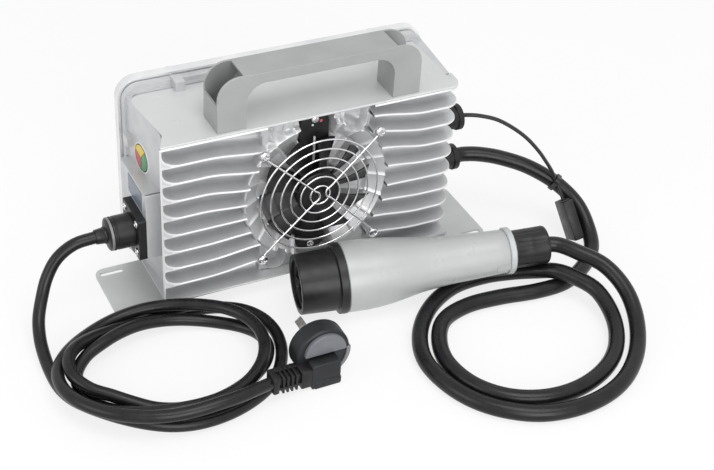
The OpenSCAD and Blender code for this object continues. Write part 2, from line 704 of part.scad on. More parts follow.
module board_screws() color([0.66, 0.67, 0.69]) place()
  for (x = [-110, 110], z = [38, 150]) translate([x, 49.6, z]) rotate([0, 0, 180]) screw_y(3.4, 2.2, 10);

module transformer_core() color([0.2, 0.2, 0.21]) place() difference() {
  translate([-26, 49.6, 72]) cube([52, 34, 46]);
  translate([-17, 49, 80]) cube([34, 36, 30]);
}

module transformer_coil() color([0.72, 0.6, 0.25]) place()
  translate([-17, 50.6, 80]) cube([34, 32, 30]);

module choke_ring() color([0.7, 0.45, 0.2]) place() translate([62, 57.6, 60]) rotate([90, 0, 0])
  rotate_extrude() translate([13, 0]) circle(8, $fn = 32);

module capacitors() color([0.12, 0.14, 0.2]) place()
  for (x = [-92, -62], z = [62, 96]) bar_y(x, z, 11.5, 49.6, 84);

module heat_bar() color([0.68, 0.69, 0.71]) place()
  translate([-100, fin_d + wall_t, 134]) cube([200, 12, 9]);

module power_devices() color([0.1, 0.1, 0.11]) place()
  for (x = [-84:28:84]) translate([x - 8, fin_d + wall_t + 6, 128.8]) cube([16, 6, 5.2]);

module terminal_block() color([0.2, 0.42, 0.28]) place()
  translate([82, 49.6, 96]) cube([22, 16, 40]);

module fan_wire() color([0.6, 0.12, 0.12]) place() {
  bar_y(9, 150, 1.6, 18.2, 48);
}

front_shell();
rear_shell();
shell_gasket();
shell_screws();
top_sheet();
sheet_screws();
handle();
handle_screws();
base_plate();
base_screws();
fan_bracket();
bracket_screws();
fan_motor();
fan_rotor();
fan_guard();
guard_screws();
inlet_flange();
inlet_screws();
inlet_coupling();
coupling_cap();
inlet_panel();
lens_ring();
lens_yellow();
lens_red();
lens_green();
signal_gland();
dc_gland();
signal_lead();
inline_box();
cable_ties();
dc_cable();
plug_collar();
plug_insert();
plug_contacts();
plug_handle();
plug_ring();
plug_nut();
ac_lead();
ac_coil();
mains_relief();
mains_plug();
mains_cap();
mains_pins();
circuit_board();
board_posts();
board_screws();
transformer_core();
transformer_coil();
choke_ring();
capacitors();
heat_bar();
power_devices();
terminal_block();
fan_wire();
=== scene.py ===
# %% [markdown]
# # A fan-cooled battery charger
# The object is a die-cast charger case with nine levels of cooling fins, a fan behind a wire guard, a
# folded carrying handle, a base plate with slotted ears, a coiled mains lead and an output lead with a
# round plug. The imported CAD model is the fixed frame. This script gives every part its finish and models
# the parts whose looks need more than plain solids: the casting, the guard, the cords and the plugs.

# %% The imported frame
import math

import bmesh
import bpy
from mathutils import Matrix, Vector


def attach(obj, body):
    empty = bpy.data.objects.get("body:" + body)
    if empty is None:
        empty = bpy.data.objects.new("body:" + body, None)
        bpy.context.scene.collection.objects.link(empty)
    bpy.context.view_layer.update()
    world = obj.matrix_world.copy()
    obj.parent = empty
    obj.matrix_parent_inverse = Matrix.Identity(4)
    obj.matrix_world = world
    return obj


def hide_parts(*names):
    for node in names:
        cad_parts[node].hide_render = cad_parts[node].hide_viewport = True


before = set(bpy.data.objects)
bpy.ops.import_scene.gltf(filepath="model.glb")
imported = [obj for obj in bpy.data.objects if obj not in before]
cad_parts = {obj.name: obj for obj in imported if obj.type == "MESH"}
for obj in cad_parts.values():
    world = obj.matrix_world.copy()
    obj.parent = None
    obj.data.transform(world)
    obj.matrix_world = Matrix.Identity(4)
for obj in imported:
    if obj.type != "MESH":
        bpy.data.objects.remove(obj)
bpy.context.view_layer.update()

# %% [markdown]
# ## Working in millimetres
# The drawing of the charger counts in millimetres, from the middle of the case, the front of its fins
# and the floor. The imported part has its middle 53.25 mm further back, so one helper turns a place on the
# drawing into metres in the shared frame, and everything below can be read with the drawing beside it.

# %% Places on the drawing
MM = 0.001
FIN_FRONT = 53.25


def at(x, y, z):
    """A place on the drawing, in millimetres, as a point of the frame in metres."""
    return Vector((x, y - FIN_FRONT, z)) * MM


# %% [markdown]
# ## The camera first
# The photograph looks down on the charger from the front left with a long lens. The camera sits on a
# sphere around a point near the middle of the picture: turn, height and distance give its place, and a
# small roll levels the case as in the photograph. It comes before everything else, because the cords are
# measured against what it sees.

# %% The camera
AIM = at(39.03, 0, 38.98)
CAMERA_FAR = 1.263
CAMERA_TURN = math.radians(-28.46)
CAMERA_LIFT = math.radians(36.446)
CAMERA_ROLL = math.radians(3.845)
LENS = 72.39


def aim_camera():
    """Makes the camera of the photograph."""
    turn, lift = CAMERA_TURN, CAMERA_LIFT
    away = Vector((math.sin(turn) * math.cos(lift), -math.cos(turn) * math.cos(lift), math.sin(lift)))
    right = Vector((math.cos(turn), math.sin(turn), 0))
    level = Matrix((right, away.cross(right), away)).transposed()
    camera = bpy.data.objects.new("camera", bpy.data.cameras.new("camera"))
    camera.data.lens = LENS
    camera.data.sensor_width = 36
    camera.data.clip_start = 0.05
    camera.data.clip_end = 20
    camera.matrix_world = Matrix.Translation(AIM + away * CAMERA_FAR) @ (
        level @ Matrix.Rotation(CAMERA_ROLL, 3, "Z")
    ).to_4x4()
    bpy.context.scene.collection.objects.link(camera)
    bpy.context.scene.camera = camera
    print("camera at", [round(v, 3) for v in camera.matrix_world.translation])


aim_camera()

# %% [markdown]
# ## Shared effects as node groups
# Real surfaces are never one flat colour. Three effects are used all over the charger, so each is built
# once as a shader node group and placed in every material with its own values. "Uneven finish" drifts
# between two colours and breaks up the gloss, "Fine grain" gives the tiny relief of cast metal or moulded
# plastic, and "Drawn lines" gives the long faint scratches of rolled sheet. They read object coordinates,
# which are metres on this part, so a grain of half a millimetre is the same size on every piece.

# %% Helpers for node trees
LINE_UP = 180


def add_node(tree, kind, column, row, values=None, **settings):
    """One node with its input values, set out on a grid so that the tree reads from left to right."""
    node = tree.nodes.new(kind)
    node.location = (column * LINE_UP, -row * LINE_UP)
    for key, value in settings.items():
        setattr(node, key, value)
    for key, value in (values or {}).items():
        node.inputs[key].default_value = value
    return node


def wire(tree, start, output, end, socket):
    """A link from one node's output to another node's input."""
    tree.links.new(start.outputs[output], end.inputs[socket])


def new_tree(name, kind, inputs, outputs, columns):
    """A node group with named sockets, its first node and its last node."""
    tree = bpy.data.node_groups.new(name, kind + "NodeTree")
    for label, socket_kind, *value in inputs:
        socket = tree.interface.new_socket(label, in_out="INPUT", socket_type="NodeSocket" + socket_kind)
        if value:
            socket.default_value = value[0]
    for label, socket_kind in outputs:
        tree.interface.new_socket(label, in_out="OUTPUT", socket_type="NodeSocket" + socket_kind)
    return tree, add_node(tree, "NodeGroupInput", 0, 0), add_node(tree, "NodeGroupOutput", columns, 0)


def emptied(owner):
    """The empty node tree of a material or a world."""
    owner.use_nodes = True
    owner.node_tree.nodes.clear()
    return owner.node_tree


# %% Uneven finish
def build_uneven():
    """Two colours that drift into each other, and a roughness that drifts with them."""
    group, start, end = new_tree(
        "Uneven finish", "Shader",
        [("Place", "Vector"), ("Colour", "Color"), ("Other colour", "Color"),
         ("Patches per metre", "Float", 40.0), ("Smoothest", "Float", 0.35), ("Roughest", "Float", 0.5)],
        [("Colour", "Color"), ("Roughness", "Float")], 4)
    cloud = add_node(group, "ShaderNodeTexNoise", 1, 0, {"Detail": 5})
    spread = add_node(group, "ShaderNodeMapRange", 2, 0, {"From Min": 0.3, "From Max": 0.7})
    blend = add_node(group, "ShaderNodeMix", 3, 0, data_type="RGBA")
    gloss = add_node(group, "ShaderNodeMapRange", 3, 1)
    wire(group, start, "Place", cloud, "Vector")
    wire(group, start, "Patches per metre", cloud, "Scale")
    wire(group, cloud, "Fac", spread, "Value")
    wire(group, spread, "Result", blend, "Factor")
    wire(group, start, "Colour", blend, 6)
    wire(group, start, "Other colour", blend, 7)
    wire(group, spread, "Result", gloss, "Value")
    wire(group, start, "Smoothest", gloss, "To Min")
    wire(group, start, "Roughest", gloss, "To Max")
    wire(group, blend, 2, end, "Colour")
    wire(group, gloss, "Result", end, "Roughness")
    return group


uneven_finish = build_uneven()


# %% Fine grain
def build_grain():
    """The height of a fine grain, with a coarser swell under it."""
    group, start, end = new_tree(
        "Fine grain", "Shader",
        [("Place", "Vector"), ("Grains per metre", "Float", 1500.0), ("Swells per metre", "Float", 120.0),
         ("Swell", "Float", 0.4)],
        [("Height", "Float")], 4)
    grain = add_node(group, "ShaderNodeTexNoise", 1, 0, {"Detail": 3})
    swell = add_node(group, "ShaderNodeTexNoise", 1, 1, {"Detail": 2})
    weigh = add_node(group, "ShaderNodeMath", 2, 1, operation="MULTIPLY")
    total = add_node(group, "ShaderNodeMath", 3, 0, operation="ADD")
    wire(group, start, "Place", grain, "Vector")
    wire(group, start, "Grains per metre", grain, "Scale")
    wire(group, start, "Place", swell, "Vector")
    wire(group, start, "Swells per metre", swell, "Scale")
    wire(group, swell, "Fac", weigh, 0)
    wire(group, start, "Swell", weigh, 1)
    wire(group, grain, "Fac", total, 0)
    wire(group, weigh, "Value", total, 1)
    wire(group, total, "Value", end, "Height")
    return group


fine_grain = build_grain()


# %% Drawn lines
def build_lines():
    """Long faint lines: noise squeezed along one direction."""
    group, start, end = new_tree("Drawn lines", "Shader", [("Place", "Vector"), ("Squeeze", "Vector")],
                                 [("Lines", "Float")], 3)
    squeeze = add_node(group, "ShaderNodeVectorMath", 1, 0, operation="MULTIPLY")
    lines = add_node(group, "ShaderNodeTexNoise", 2, 0, {"Scale": 1, "Detail": 4})
    wire(group, start, "Place", squeeze, 0)
    wire(group, start, "Squeeze", squeeze, 1)
    wire(group, squeeze, "Vector", lines, "Vector")
    wire(group, lines, "Fac", end, "Lines")
    return group


drawn_lines = build_lines()

# %% [markdown]
# ## Materials
# One recipe serves every solid finish: the uneven colour and gloss, a bump from the fine grain, and for
# sheet metal a second bump from the drawn lines. Numbers that are the same all over a surface, such as
# how metallic it is, are set on the shader itself. The casting is bare aluminium that has lost its shine
# to the mould, so it is only partly metallic and rather rough; polished wire and screws are fully
# metallic; plastic and rubber are not metallic at all.

# %% The recipe for a finish
GRAIN_DEPTH = 0.00004


def finish(name, colour, other, smooth, rough, patches, metallic=0.0, grain=1500.0, depth=1.0, swell=0.4,
           squeeze=None, line_depth=0.5, highlight_colour=None, specular=0.5):
    """A material with an uneven colour and gloss and a fine relief."""
    material = bpy.data.materials.new(name)
    tree = emptied(material)
    place = add_node(tree, "ShaderNodeTexCoord", 0, 0)
    drift = add_node(tree, "ShaderNodeGroup", 1, 0, {
        "Colour": (*colour, 1), "Other colour": (*other, 1), "Patches per metre": patches,
        "Smoothest": smooth, "Roughest": rough}, node_tree=uneven_finish)
    relief = add_node(tree, "ShaderNodeGroup", 1, 1, {"Grains per metre": grain, "Swell": swell},
                      node_tree=fine_grain)
    bump = add_node(tree, "ShaderNodeBump", 2, 1, {"Strength": 1, "Distance": GRAIN_DEPTH * depth})
    shader = add_node(tree, "ShaderNodeBsdfPrincipled", 4, 0,
                      {"Metallic": metallic, "Specular IOR Level": specular})
    end = add_node(tree, "ShaderNodeOutputMaterial", 5, 0)
    wire(tree, place, "Object", drift, "Place")
    wire(tree, place, "Object", relief, "Place")
    wire(tree, relief, "Height", bump, "Height")
    wire(tree, drift, "Roughness", shader, "Roughness")
    wire(tree, shader, "BSDF", end, "Surface")
    base = (drift, "Colour")
    normal = (bump, "Normal")
    if squeeze:
        lines = add_node(tree, "ShaderNodeGroup", 1, 2, {"Squeeze": squeeze}, node_tree=drawn_lines)
        scratch = add_node(tree, "ShaderNodeBump", 3, 1,
                           {"Strength": 1, "Distance": GRAIN_DEPTH * line_depth})
        wire(tree, place, "Object", lines, "Place")
        wire(tree, lines, "Lines", scratch, "Height")
        wire(tree, *normal, scratch, "Normal")
        normal = (scratch, "Normal")
    # Painted highlight: a stored value on each point blends the base colour toward a near-white colour, which
    # stands in for light caught on the fin crests and in the fan's recess.
    if highlight_colour:
        painted_highlight = add_node(tree, "ShaderNodeAttribute", 1, 3, attribute_name="painted_highlight")
        brighten = add_node(tree, "ShaderNodeMix", 3, 0, {7: (*highlight_colour, 1)}, data_type="RGBA")
        wire(tree, painted_highlight, "Fac", brighten, "Factor")
        wire(tree, *base, brighten, 6)
        base = (brighten, 2)
    wire(tree, *base, shader, "Base Color")
    wire(tree, *normal, shader, "Normal")
    return material


# %% The finishes of the case
# The last colour of the cast aluminium is its painted highlight, near white.
cast_metal = finish("cast_aluminium", (0.58, 0.585, 0.59), (0.52, 0.525, 0.535), 0.32, 0.46,
                    metallic=0.45, patches=60, grain=1800, depth=1.4, highlight_colour=(0.88, 0.88, 0.89))
rear_metal = finish("rear_casting", (0.84, 0.84, 0.84), (0.68, 0.69, 0.70), 0.14, 0.26,
                    metallic=0.55, patches=38, depth=1.2, swell=2.5)
top_metal = finish("top_sheet_metal", (0.60, 0.61, 0.61), (0.56, 0.57, 0.57), 0.40, 0.5,
                   metallic=0.15, patches=18, grain=900, depth=0.5, squeeze=(8, 900, 900))
plate_metal = finish("base_plate_metal", (0.60, 0.61, 0.61), (0.54, 0.55, 0.55), 0.38, 0.5,
                     metallic=0.25, patches=18, grain=900, depth=0.5, squeeze=(8, 900, 900))
handle_metal = finish("handle_sheet_metal", (0.40, 0.41, 0.405), (0.345, 0.355, 0.355), 0.30, 0.42,
                      metallic=0.5, patches=30, grain=1100, depth=0.7, squeeze=(900, 900, 14))
screw_steel = finish("screw_steel", (0.72, 0.72, 0.73), (0.6, 0.6, 0.62), 0.16, 0.3,
                     metallic=1.0, patches=300, grain=2500, depth=0.5)
guard_chrome = finish("guard_wire_chrome", (0.84, 0.84, 0.85), (0.74, 0.74, 0.76), 0.10, 0.22,
                      metallic=1.0, patches=200, depth=0.5)
seal_rubber = finish("seal_rubber", (0.02, 0.02, 0.022), (0.03, 0.03, 0.032), 0.55, 0.7,
                     patches=150, grain=1200)

# %% The finishes of the fan, the cords and the plugs
black_plastic = finish("black_moulded_plastic", (0.008, 0.008, 0.009), (0.015, 0.015, 0.016), 0.30, 0.46,
                       patches=120, grain=1700, depth=1.2, specular=0.32)
fan_plastic = finish("fan_plastic", (0.006, 0.006, 0.007), (0.012, 0.012, 0.013), 0.28, 0.42,
                     patches=120, grain=1200, depth=0.8, specular=0.35)
cord_rubber = finish("cord_jacket", (0.006, 0.006, 0.007), (0.011, 0.011, 0.012), 0.24, 0.36,
                     patches=90, grain=900, specular=0.3)
grey_plastic = finish("grey_moulded_plastic", (0.43, 0.445, 0.44), (0.40, 0.415, 0.41), 0.26, 0.36,
                      patches=60, grain=1300, depth=0.9)
pale_ring = finish("pale_ring_plastic", (0.50, 0.52, 0.52), (0.44, 0.46, 0.46), 0.28, 0.42,
                   patches=100, grain=1200, depth=0.8)
facet_plastic = finish("plug_cap_plastic", (0.125, 0.13, 0.145), (0.15, 0.155, 0.17), 0.30, 0.42,
                       patches=70, grain=1200, depth=0.8)
facet_block = finish("plug_block_plastic", (0.012, 0.0125, 0.014), (0.018, 0.019, 0.021), 0.32, 0.46,
                     patches=90, specular=0.32)
# Painted highlight: this pale grey stands in for light caught on the rounded edge of the mains plug's head
# and on the rim of the coupling's end.
painted_edge_highlight = finish("painted_edge_highlight_grey", (0.20, 0.20, 0.205), (0.17, 0.17, 0.175), 0.34, 0.46,
                          patches=90, grain=1200, depth=0.8)
pin_metal = finish("pin_nickel", (0.42, 0.41, 0.40), (0.34, 0.33, 0.32), 0.24, 0.38,
                   metallic=0.9, patches=300, grain=1800, depth=0.6)
brass = finish("contact_brass", (0.74, 0.56, 0.22), (0.62, 0.46, 0.18), 0.2, 0.34,
               metallic=1.0, patches=300, grain=1800, depth=0.6)
panel_plastic = finish("inlet_panel_plastic", (0.12, 0.15, 0.20), (0.16, 0.19, 0.24), 0.24, 0.36,
                       patches=160, grain=1200, depth=0.8)
lens_yellow = finish("lens_yellow", (0.72, 0.52, 0.035), (0.62, 0.46, 0.05), 0.18, 0.3,
                     patches=260, depth=0.6)
lens_red = finish("lens_red", (0.45, 0.07, 0.09), (0.38, 0.09, 0.11), 0.18, 0.3,
                  patches=260, depth=0.6)
lens_green = finish("lens_green", (0.05, 0.28, 0.10), (0.07, 0.22, 0.11), 0.18, 0.3,
                    patches=260, depth=0.6)
white_plastic = finish("white_plastic", (0.72, 0.72, 0.72), (0.66, 0.66, 0.66), 0.3, 0.42,
                       patches=100, depth=0.7)
print(len(bpy.data.materials), "finishes")

# %% The finishes inside the case
board_green = finish("circuit_board_green", (0.02, 0.09, 0.045), (0.03, 0.12, 0.055), 0.25, 0.4,
                     patches=120, depth=0.8)
ferrite = finish("ferrite_core", (0.035, 0.035, 0.038), (0.05, 0.05, 0.053), 0.5, 0.65,
                 patches=200, grain=2200, depth=1.6)
copper_wire = finish("enamelled_copper", (0.55, 0.24, 0.10), (0.44, 0.18, 0.08), 0.22, 0.36,
                     metallic=0.9, patches=200, grain=900, squeeze=(60, 60, 1800), line_depth=3.0)
can_sleeve = finish("capacitor_sleeve", (0.02, 0.03, 0.07), (0.03, 0.04, 0.09), 0.25, 0.38,
                    patches=120, depth=0.6)
bar_metal = finish("heat_bar_aluminium", (0.62, 0.63, 0.64), (0.54, 0.55, 0.56), 0.3, 0.44,
                   metallic=0.8, patches=60, depth=0.8, squeeze=(8, 900, 900))
block_green = finish("terminal_block_plastic", (0.05, 0.22, 0.10), (0.07, 0.26, 0.12), 0.34, 0.48,
                     patches=120, depth=0.8)
wire_jacket = finish("fan_wire_jacket", (0.28, 0.02, 0.02), (0.36, 0.03, 0.03), 0.34, 0.46,
                     patches=120, grain=1200, depth=0.8)

# %% [markdown]
# ## How a piece is handed to the frame
# Every piece is a mesh at the origin with its place in its points, as the CAD nodes are. One helper gives
# it a finish, rounds its shading between the true corners, and says which body carries it and which CAD
# node it stands for.

# %% Helpers for pieces
CORNER = math.radians(38)


def piece(name, mesh, material, stands_for=(), body="case", corner=CORNER, turn_out=True):
    """A mesh becomes a finished piece of the charger, shaded smooth everywhere but over its corners."""
    bm = bmesh.new()
    bm.from_mesh(mesh)
    if turn_out:
        bmesh.ops.recalc_face_normals(bm, faces=bm.faces)
    for face in bm.faces:
        face.smooth = True
    for edge in bm.edges:
        edge.smooth = len(edge.link_faces) == 2 and edge.calc_face_angle(0) < corner
    bm.to_mesh(mesh)
    bm.free()
    mesh.name = name
    mesh.materials.clear()
    mesh.materials.append(material)
    obj = bpy.data.objects.new(name, mesh)
    bpy.context.scene.collection.objects.link(obj)
    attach(obj, body)
    if stands_for:
        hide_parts(*stands_for)
    return obj


# %% [markdown]
# A few kinds of mesh return all over the charger, so each has a helper: a skin over rings of points, a
# block with rounded edges, the solid between two outlines, a turned part, and a section swept along a
# route. They are built with their places already in millimetres on the drawing or in metres in the frame.

# %% Helpers for meshes
def mesh_of(points, faces=()):
    """A mesh from points in metres and faces."""
    mesh = bpy.data.meshes.new("mesh")
    mesh.from_pydata([tuple(p) for p in points], [], faces)
    mesh.update()
    return mesh


def skin(rings, closed=True, loop=False, caps=True):
    """A mesh over rings of points. Each ring can be closed, and the last ring can be joined to the first
    in a loop; otherwise caps close both ends."""
    count = len(rings[0])
    faces = []
    for i in range(len(rings) if loop else len(rings) - 1):
        j = (i + 1) % len(rings)
        for k in range(count if closed else count - 1):
            m = (k + 1) % count
            faces.append((i * count + k, i * count + m, j * count + m, j * count + k))
    if caps and not loop:
        last = len(rings) * count - 1
        faces.append((0, *range(count - 1, 0, -1)))
        faces.append((last, *range(last + 1 - count, last)))
    return mesh_of([p for ring in rings for p in ring], faces)


def stored(mesh, name, kind, field, values):
    """Stores one value for each point of a mesh under a name."""
    mesh.attributes.new(name, kind, "POINT").data.foreach_set(field, values)


def saved(bm):
    """The mesh that was built in bm, which is then freed."""
    mesh = bpy.data.meshes.new("mesh")
    bm.to_mesh(mesh)
    bm.free()
    return mesh


def joined(meshes):
    """Several meshes as one."""
    bm = bmesh.new()
    for mesh in meshes:
        bm.from_mesh(mesh)
    return saved(bm)


# %% Solids with rounded edges
def round_edges(bm, edges, width, segments=2):
    """Rounds the edges by a width in millimetres."""
    bmesh.ops.bevel(bm, geom=edges, offset=width * MM, offset_type="OFFSET", segments=segments,
                    profile=0.5, affect="EDGES", clamp_overlap=True)


def block(size, place, width):
    """A block of a size in millimetres, with rounded edges, set in its place by a matrix."""
    bm = bmesh.new()
    bmesh.ops.create_cube(bm, size=1)
    bmesh.ops.scale(bm, vec=Vector(size) * MM, verts=bm.verts)
    round_edges(bm, bm.edges[:], width)
    mesh = saved(bm)
    mesh.transform(place)
    return mesh


def between(lower, upper, width, which="sharp", segments=2, corner=25):
    """The solid between two like outlines. Its sharp edges are rounded, or both rims, or the upper one."""
    bm = bmesh.new()
    rows = [[bm.verts.new(p) for p in row] for row in (lower, upper)]
    row_of = {vert: i for i, row in enumerate(rows) for vert in row}
    for k in range(len(lower)):
        m = (k + 1) % len(lower)
        bm.faces.new((rows[0][k], rows[0][m], rows[1][m], rows[1][k]))
    bm.faces.new(rows[0][::-1])
    bm.faces.new(rows[1])
    bmesh.ops.recalc_face_normals(bm, faces=bm.faces)
    picks = {
        "sharp": lambda e: e.calc_face_angle(0) > math.radians(corner),
        "rims": lambda e: row_of[e.verts[0]] == row_of[e.verts[1]],
        "upper": lambda e: all(row_of[v] == 1 for v in e.verts),
    }
    round_edges(bm, [e for e in bm.edges if picks[which](e)], width, segments)
    return saved(bm)


# %% Turned parts
def around(count):
    """Evenly spread angles of a full turn."""
    return [2 * math.pi * k / count for k in range(count)]


def turned(profile, origin, axis, sides=64, warp=None, loop=True):
    """A turned part: (radius, place along the axis) pairs in millimetres, spun round an axis that starts
    at a place on the drawing. A loop makes a ring or a hollow part; otherwise both ends are closed."""
    start = at(*origin)
    turn = Vector(axis).to_track_quat("Z", "Y").to_matrix()
    rings = []
    for radius, along in profile:
        ring = []
        for angle in around(sides):
            r = radius * (warp(angle, along, radius) if warp else 1)
            ring.append(start + turn @ Vector((r * math.cos(angle), r * math.sin(angle), along)) * MM)
        rings.append(ring)
    return skin(rings, loop=loop)


# %% Routes and swept tubes
def smooth_route(points, steps=6):
    """A route through all the points, rounded as a flexible lead is."""
    pts = [Vector(p) for p in points]
    ends = [2 * pts[0] - pts[1]] + pts + [2 * pts[-1] - pts[-2]]
    out = []
    for i in range(1, len(ends) - 2):
        a, b, c, d = ends[i - 1:i + 3]
        for k in range(steps):
            t = k / steps
            out.append(0.5 * (2 * b + (c - a) * t + (2 * a - 5 * b + 4 * c - d) * t * t
                              + (3 * b - a - 3 * c + d) * t ** 3))
    return out + [pts[-1]]


def swept(route, section):
    """A section, given as points across the route in metres, drawn along it with as little turn as it can."""
    rings = []
    across = (route[1] - route[0]).normalized().cross(Vector((0.02, 0.03, 1))).normalized()
    for i, point in enumerate(route):
        ahead = (route[min(i + 1, len(route) - 1)] - route[max(i - 1, 0)]).normalized()
        across = (across - ahead * across.dot(ahead)).normalized()
        up = ahead.cross(across)
        rings.append([point + across * a + up * b for a, b in section])
    return skin(rings)


def round_section(radius, count=20):
    """The points of a round section."""
    return [(radius * math.cos(t), radius * math.sin(t)) for t in around(count)]


def route_length(route):
    """How long a route is, in metres."""
    return sum((b - a).length for a, b in zip(route, route[1:]))


# %% [markdown]
# ## The cords
# A lead is a fixed length of something flexible. Its middle line is a list of places chosen from the
# photograph, rounded by a smooth curve, and a round section is swept along it. The output cable is a thick
# stiff one: it leaves its gland level, drops, lies in two large turns on the floor and climbs over itself
# in long low humps to the nut of its plug. Nothing is drawn thinner or stretched, so the length printed
# for each lead is the length of its middle line.

# %% The output cable
DC_THICK = 14.0
DC_ROUTE = [
    (158, 43, 67), (168, 42.4, 67), (182, 37.5, 66.5), (200, 29, 63.5), (222, 15, 57), (243, -2, 45),
    (256, -22, 31), (257, -43, 18), (249, -64, 9.5), (228, -82, 7.2), (200, -95, 7.2), (170, -96, 7.2),
    (136, -91, 7.2), (104, -90, 7.2), (76, -99, 7.2), (59, -120, 7.2), (51, -148, 7.2), (57, -179, 7.2),
    (76, -203, 7.2), (104, -216, 7.2), (136, -217, 7.2), (168, -206, 7.2), (193, -186, 7.5),
    (209, -158, 11), (211, -128, 18.5), (200, -106, 21.6), (190, -92, 21), (180, -80, 15.2),
    (162, -67, 9.5), (136, -60, 7.2), (104, -63, 7.2), (72, -80, 7.2), (47, -108, 7.2), (35, -142, 7.2),
    (41, -180, 7.2), (60, -210, 7.2), (92, -231, 7.2), (132, -236, 7.2), (170, -226, 7.2),
    (202, -202, 7.5), (223, -172, 13), (230, -143, 24), (224, -116, 34), (208, -94, 38.6),
    (198, -81, 39.5), (188, -75.4, 39.4),
]
dc_route = smooth_route([at(*p) for p in DC_ROUTE])
dc_mesh = swept(dc_route, round_section(DC_THICK * MM / 2, 24))
dc_cord = piece("output_cable", dc_mesh, cord_rubber, ["dc_cable"])
print("output cable", round(route_length(dc_route), 3), "m")

# %% [markdown]
# The signal lead is a flat twin: two thin cores side by side in one jacket. Its section is a figure of
# eight, so it shows the valley between the cores as one long line. It hangs from its own gland, is tied to
# the output cable and ends in a small in-line connector.

# %% The signal lead
SIGNAL_WIDE = 5.0
SIGNAL_THICK = 3.4
SIGNAL_ROUTE = [
    (158, 43, 110), (166, 42, 110), (178, 37.5, 109), (192, 30, 106), (205, 21, 99), (216, 13, 90),
    (225, 5, 79), (230.5, -0.5, 70), (235, -4.5, 62), (238.2, -7.5, 54.5), (239.8, -11.5, 48.8),
    (239.6, -17.5, 44.6), (239.5, -23.5, 39.4),
]


def twin_section(wide, thick):
    """A figure of eight: as wide and thick as given, with a valley along the middle."""
    out = []
    for turn in around(24):
        pinch = 1 - 0.22 * math.exp(-((math.cos(turn) / 0.35) ** 2))
        out.append((wide / 2 * math.cos(turn) * MM, thick / 2 * math.sin(turn) * pinch * MM))
    return out


signal_route = smooth_route([at(*p) for p in SIGNAL_ROUTE])
signal_mesh = swept(signal_route, twin_section(SIGNAL_WIDE, SIGNAL_THICK))
signal_cord = piece("signal_lead_twin", signal_mesh, cord_rubber, ["signal_lead"])
print("signal lead", round(route_length(signal_route), 3), "m")

# %% [markdown]
# The mains lead comes down from the coupling and goes straight into a flat coil of a little over three
# turns. Its turns are not copies of each other: they wander, change places and lie over and under one
# another, as the photograph shows. So the middle line is a list of places about a fiftieth of a metre
# apart. The strands were followed in the photograph, and scratch scripts then spaced the places evenly and
# lifted every crossing until the turns only touch. The last place is the mouth of the plug's strain relief.

# %% The mains lead
AC_THICK = 10.5
AC_ROUTE = [
    (-184, 43, 69), (-201.8, 42.7, 67.1), (-217.3, 41.1, 58.3), (-228.2, 37, 44.6), (-236.3, 28.3, 31.1),
    (-243.3, 15.8, 20.3), (-247.2, 0, 12.6), (-248.7, -17.3, 7.7), (-248.9, -35.1, 5.5),
    (-247.7, -53.1, 5.6), (-243.7, -70.6, 7.7), (-236.4, -86.7, 10.7), (-226.6, -101.7, 13),
    (-214.4, -114.9, 13.6), (-199.9, -125.5, 12.5), (-183.5, -132.6, 10.2), (-165.9, -135.9, 8.2),
    (-148, -135.6, 6.8), (-130.2, -132.4, 5.9), (-113.2, -126.6, 5.4), (-97.2, -118.3, 5.3),
    (-83.6, -106.5, 5.4), (-73.2, -91.8, 5.8), (-66.3, -75.2, 6.5), (-63.9, -57.4, 7.3),
    (-67.3, -39.8, 8.1), (-76.6, -24.5, 8.1), (-90.6, -13.2, 7.3), (-107.1, -6.2, 6.2),
    (-124.8, -2.9, 5.4), (-142.8, -2.7, 5.4), (-160.7, -4.6, 6.7), (-178.2, -7.7, 9.7),
    (-195.2, -12.5, 13), (-211.5, -19.3, 16.8), (-226.2, -29.1, 20.3), (-236.3, -43.7, 22.3),
    (-237.8, -61.3, 20.8), (-229.3, -76.5, 17.2), (-215.2, -87.3, 14), (-200.9, -97.6, 10.1),
    (-185.8, -106.8, 6.7), (-168.9, -112.8, 5.4), (-151, -115.1, 5.3), (-133.1, -113.4, 5.5),
    (-115.8, -108.5, 6.1), (-99.6, -100.7, 7), (-85.7, -89.4, 8.1), (-77.5, -73.5, 8.6),
    (-78.4, -55.7, 7.6), (-87.7, -40.4, 6.4), (-101.5, -29, 6.1), (-117.4, -20.6, 7.3),
    (-134.5, -15.6, 9.6), (-152.3, -14.1, 12.4), (-170, -16, 15), (-187.3, -20.9, 16.3),
    (-203.9, -27.7, 16), (-220.1, -35.3, 13.5), (-231.9, -48, 9.4), (-233.8, -65.2, 5.9),
    (-227.5, -82, 5.4), (-217.4, -96.8, 7.3), (-204.6, -108.9, 11), (-189.3, -117.9, 14),
    (-172.3, -123.4, 15.8), (-154.4, -125.6, 16.2), (-136.5, -124.1, 16.1), (-119.3, -118.8, 16.3),
    (-103.9, -109.5, 17.1), (-91.5, -96.6, 18.4), (-83.6, -80.5, 19.7), (-81.7, -62.7, 20.6),
    (-86.2, -45.3, 21), (-95.9, -30.2, 20.6), (-109.3, -18.3, 19.5), (-124.6, -8.8, 18.1),
    (-141.1, -1.8, 16.5), (-158.4, 2.9, 14.4), (-176.2, 4.1, 12), (-193.8, 0.6, 10.7),
    (-210.3, -6.7, 10.5), (-225.1, -16.8, 11.5), (-237.3, -29.9, 13.3), (-245.9, -45.5, 15.8),
    (-249.1, -63, 17.8), (-246.8, -80.7, 19.9), (-239.4, -97, 21.4), (-228.2, -111.1, 22.4),
    (-214.3, -122.5, 23), (-198.4, -131.1, 23.6), (-181.3, -136.7, 24.2), (-163.6, -139.5, 25.3),
    (-145.6, -139.6, 25.9), (-127.7, -137.3, 24.9), (-110.7, -132.2, 22.3), (-94.6, -125.4, 17.8),
]
ac_route = smooth_route([at(*p) for p in AC_ROUTE], 4)
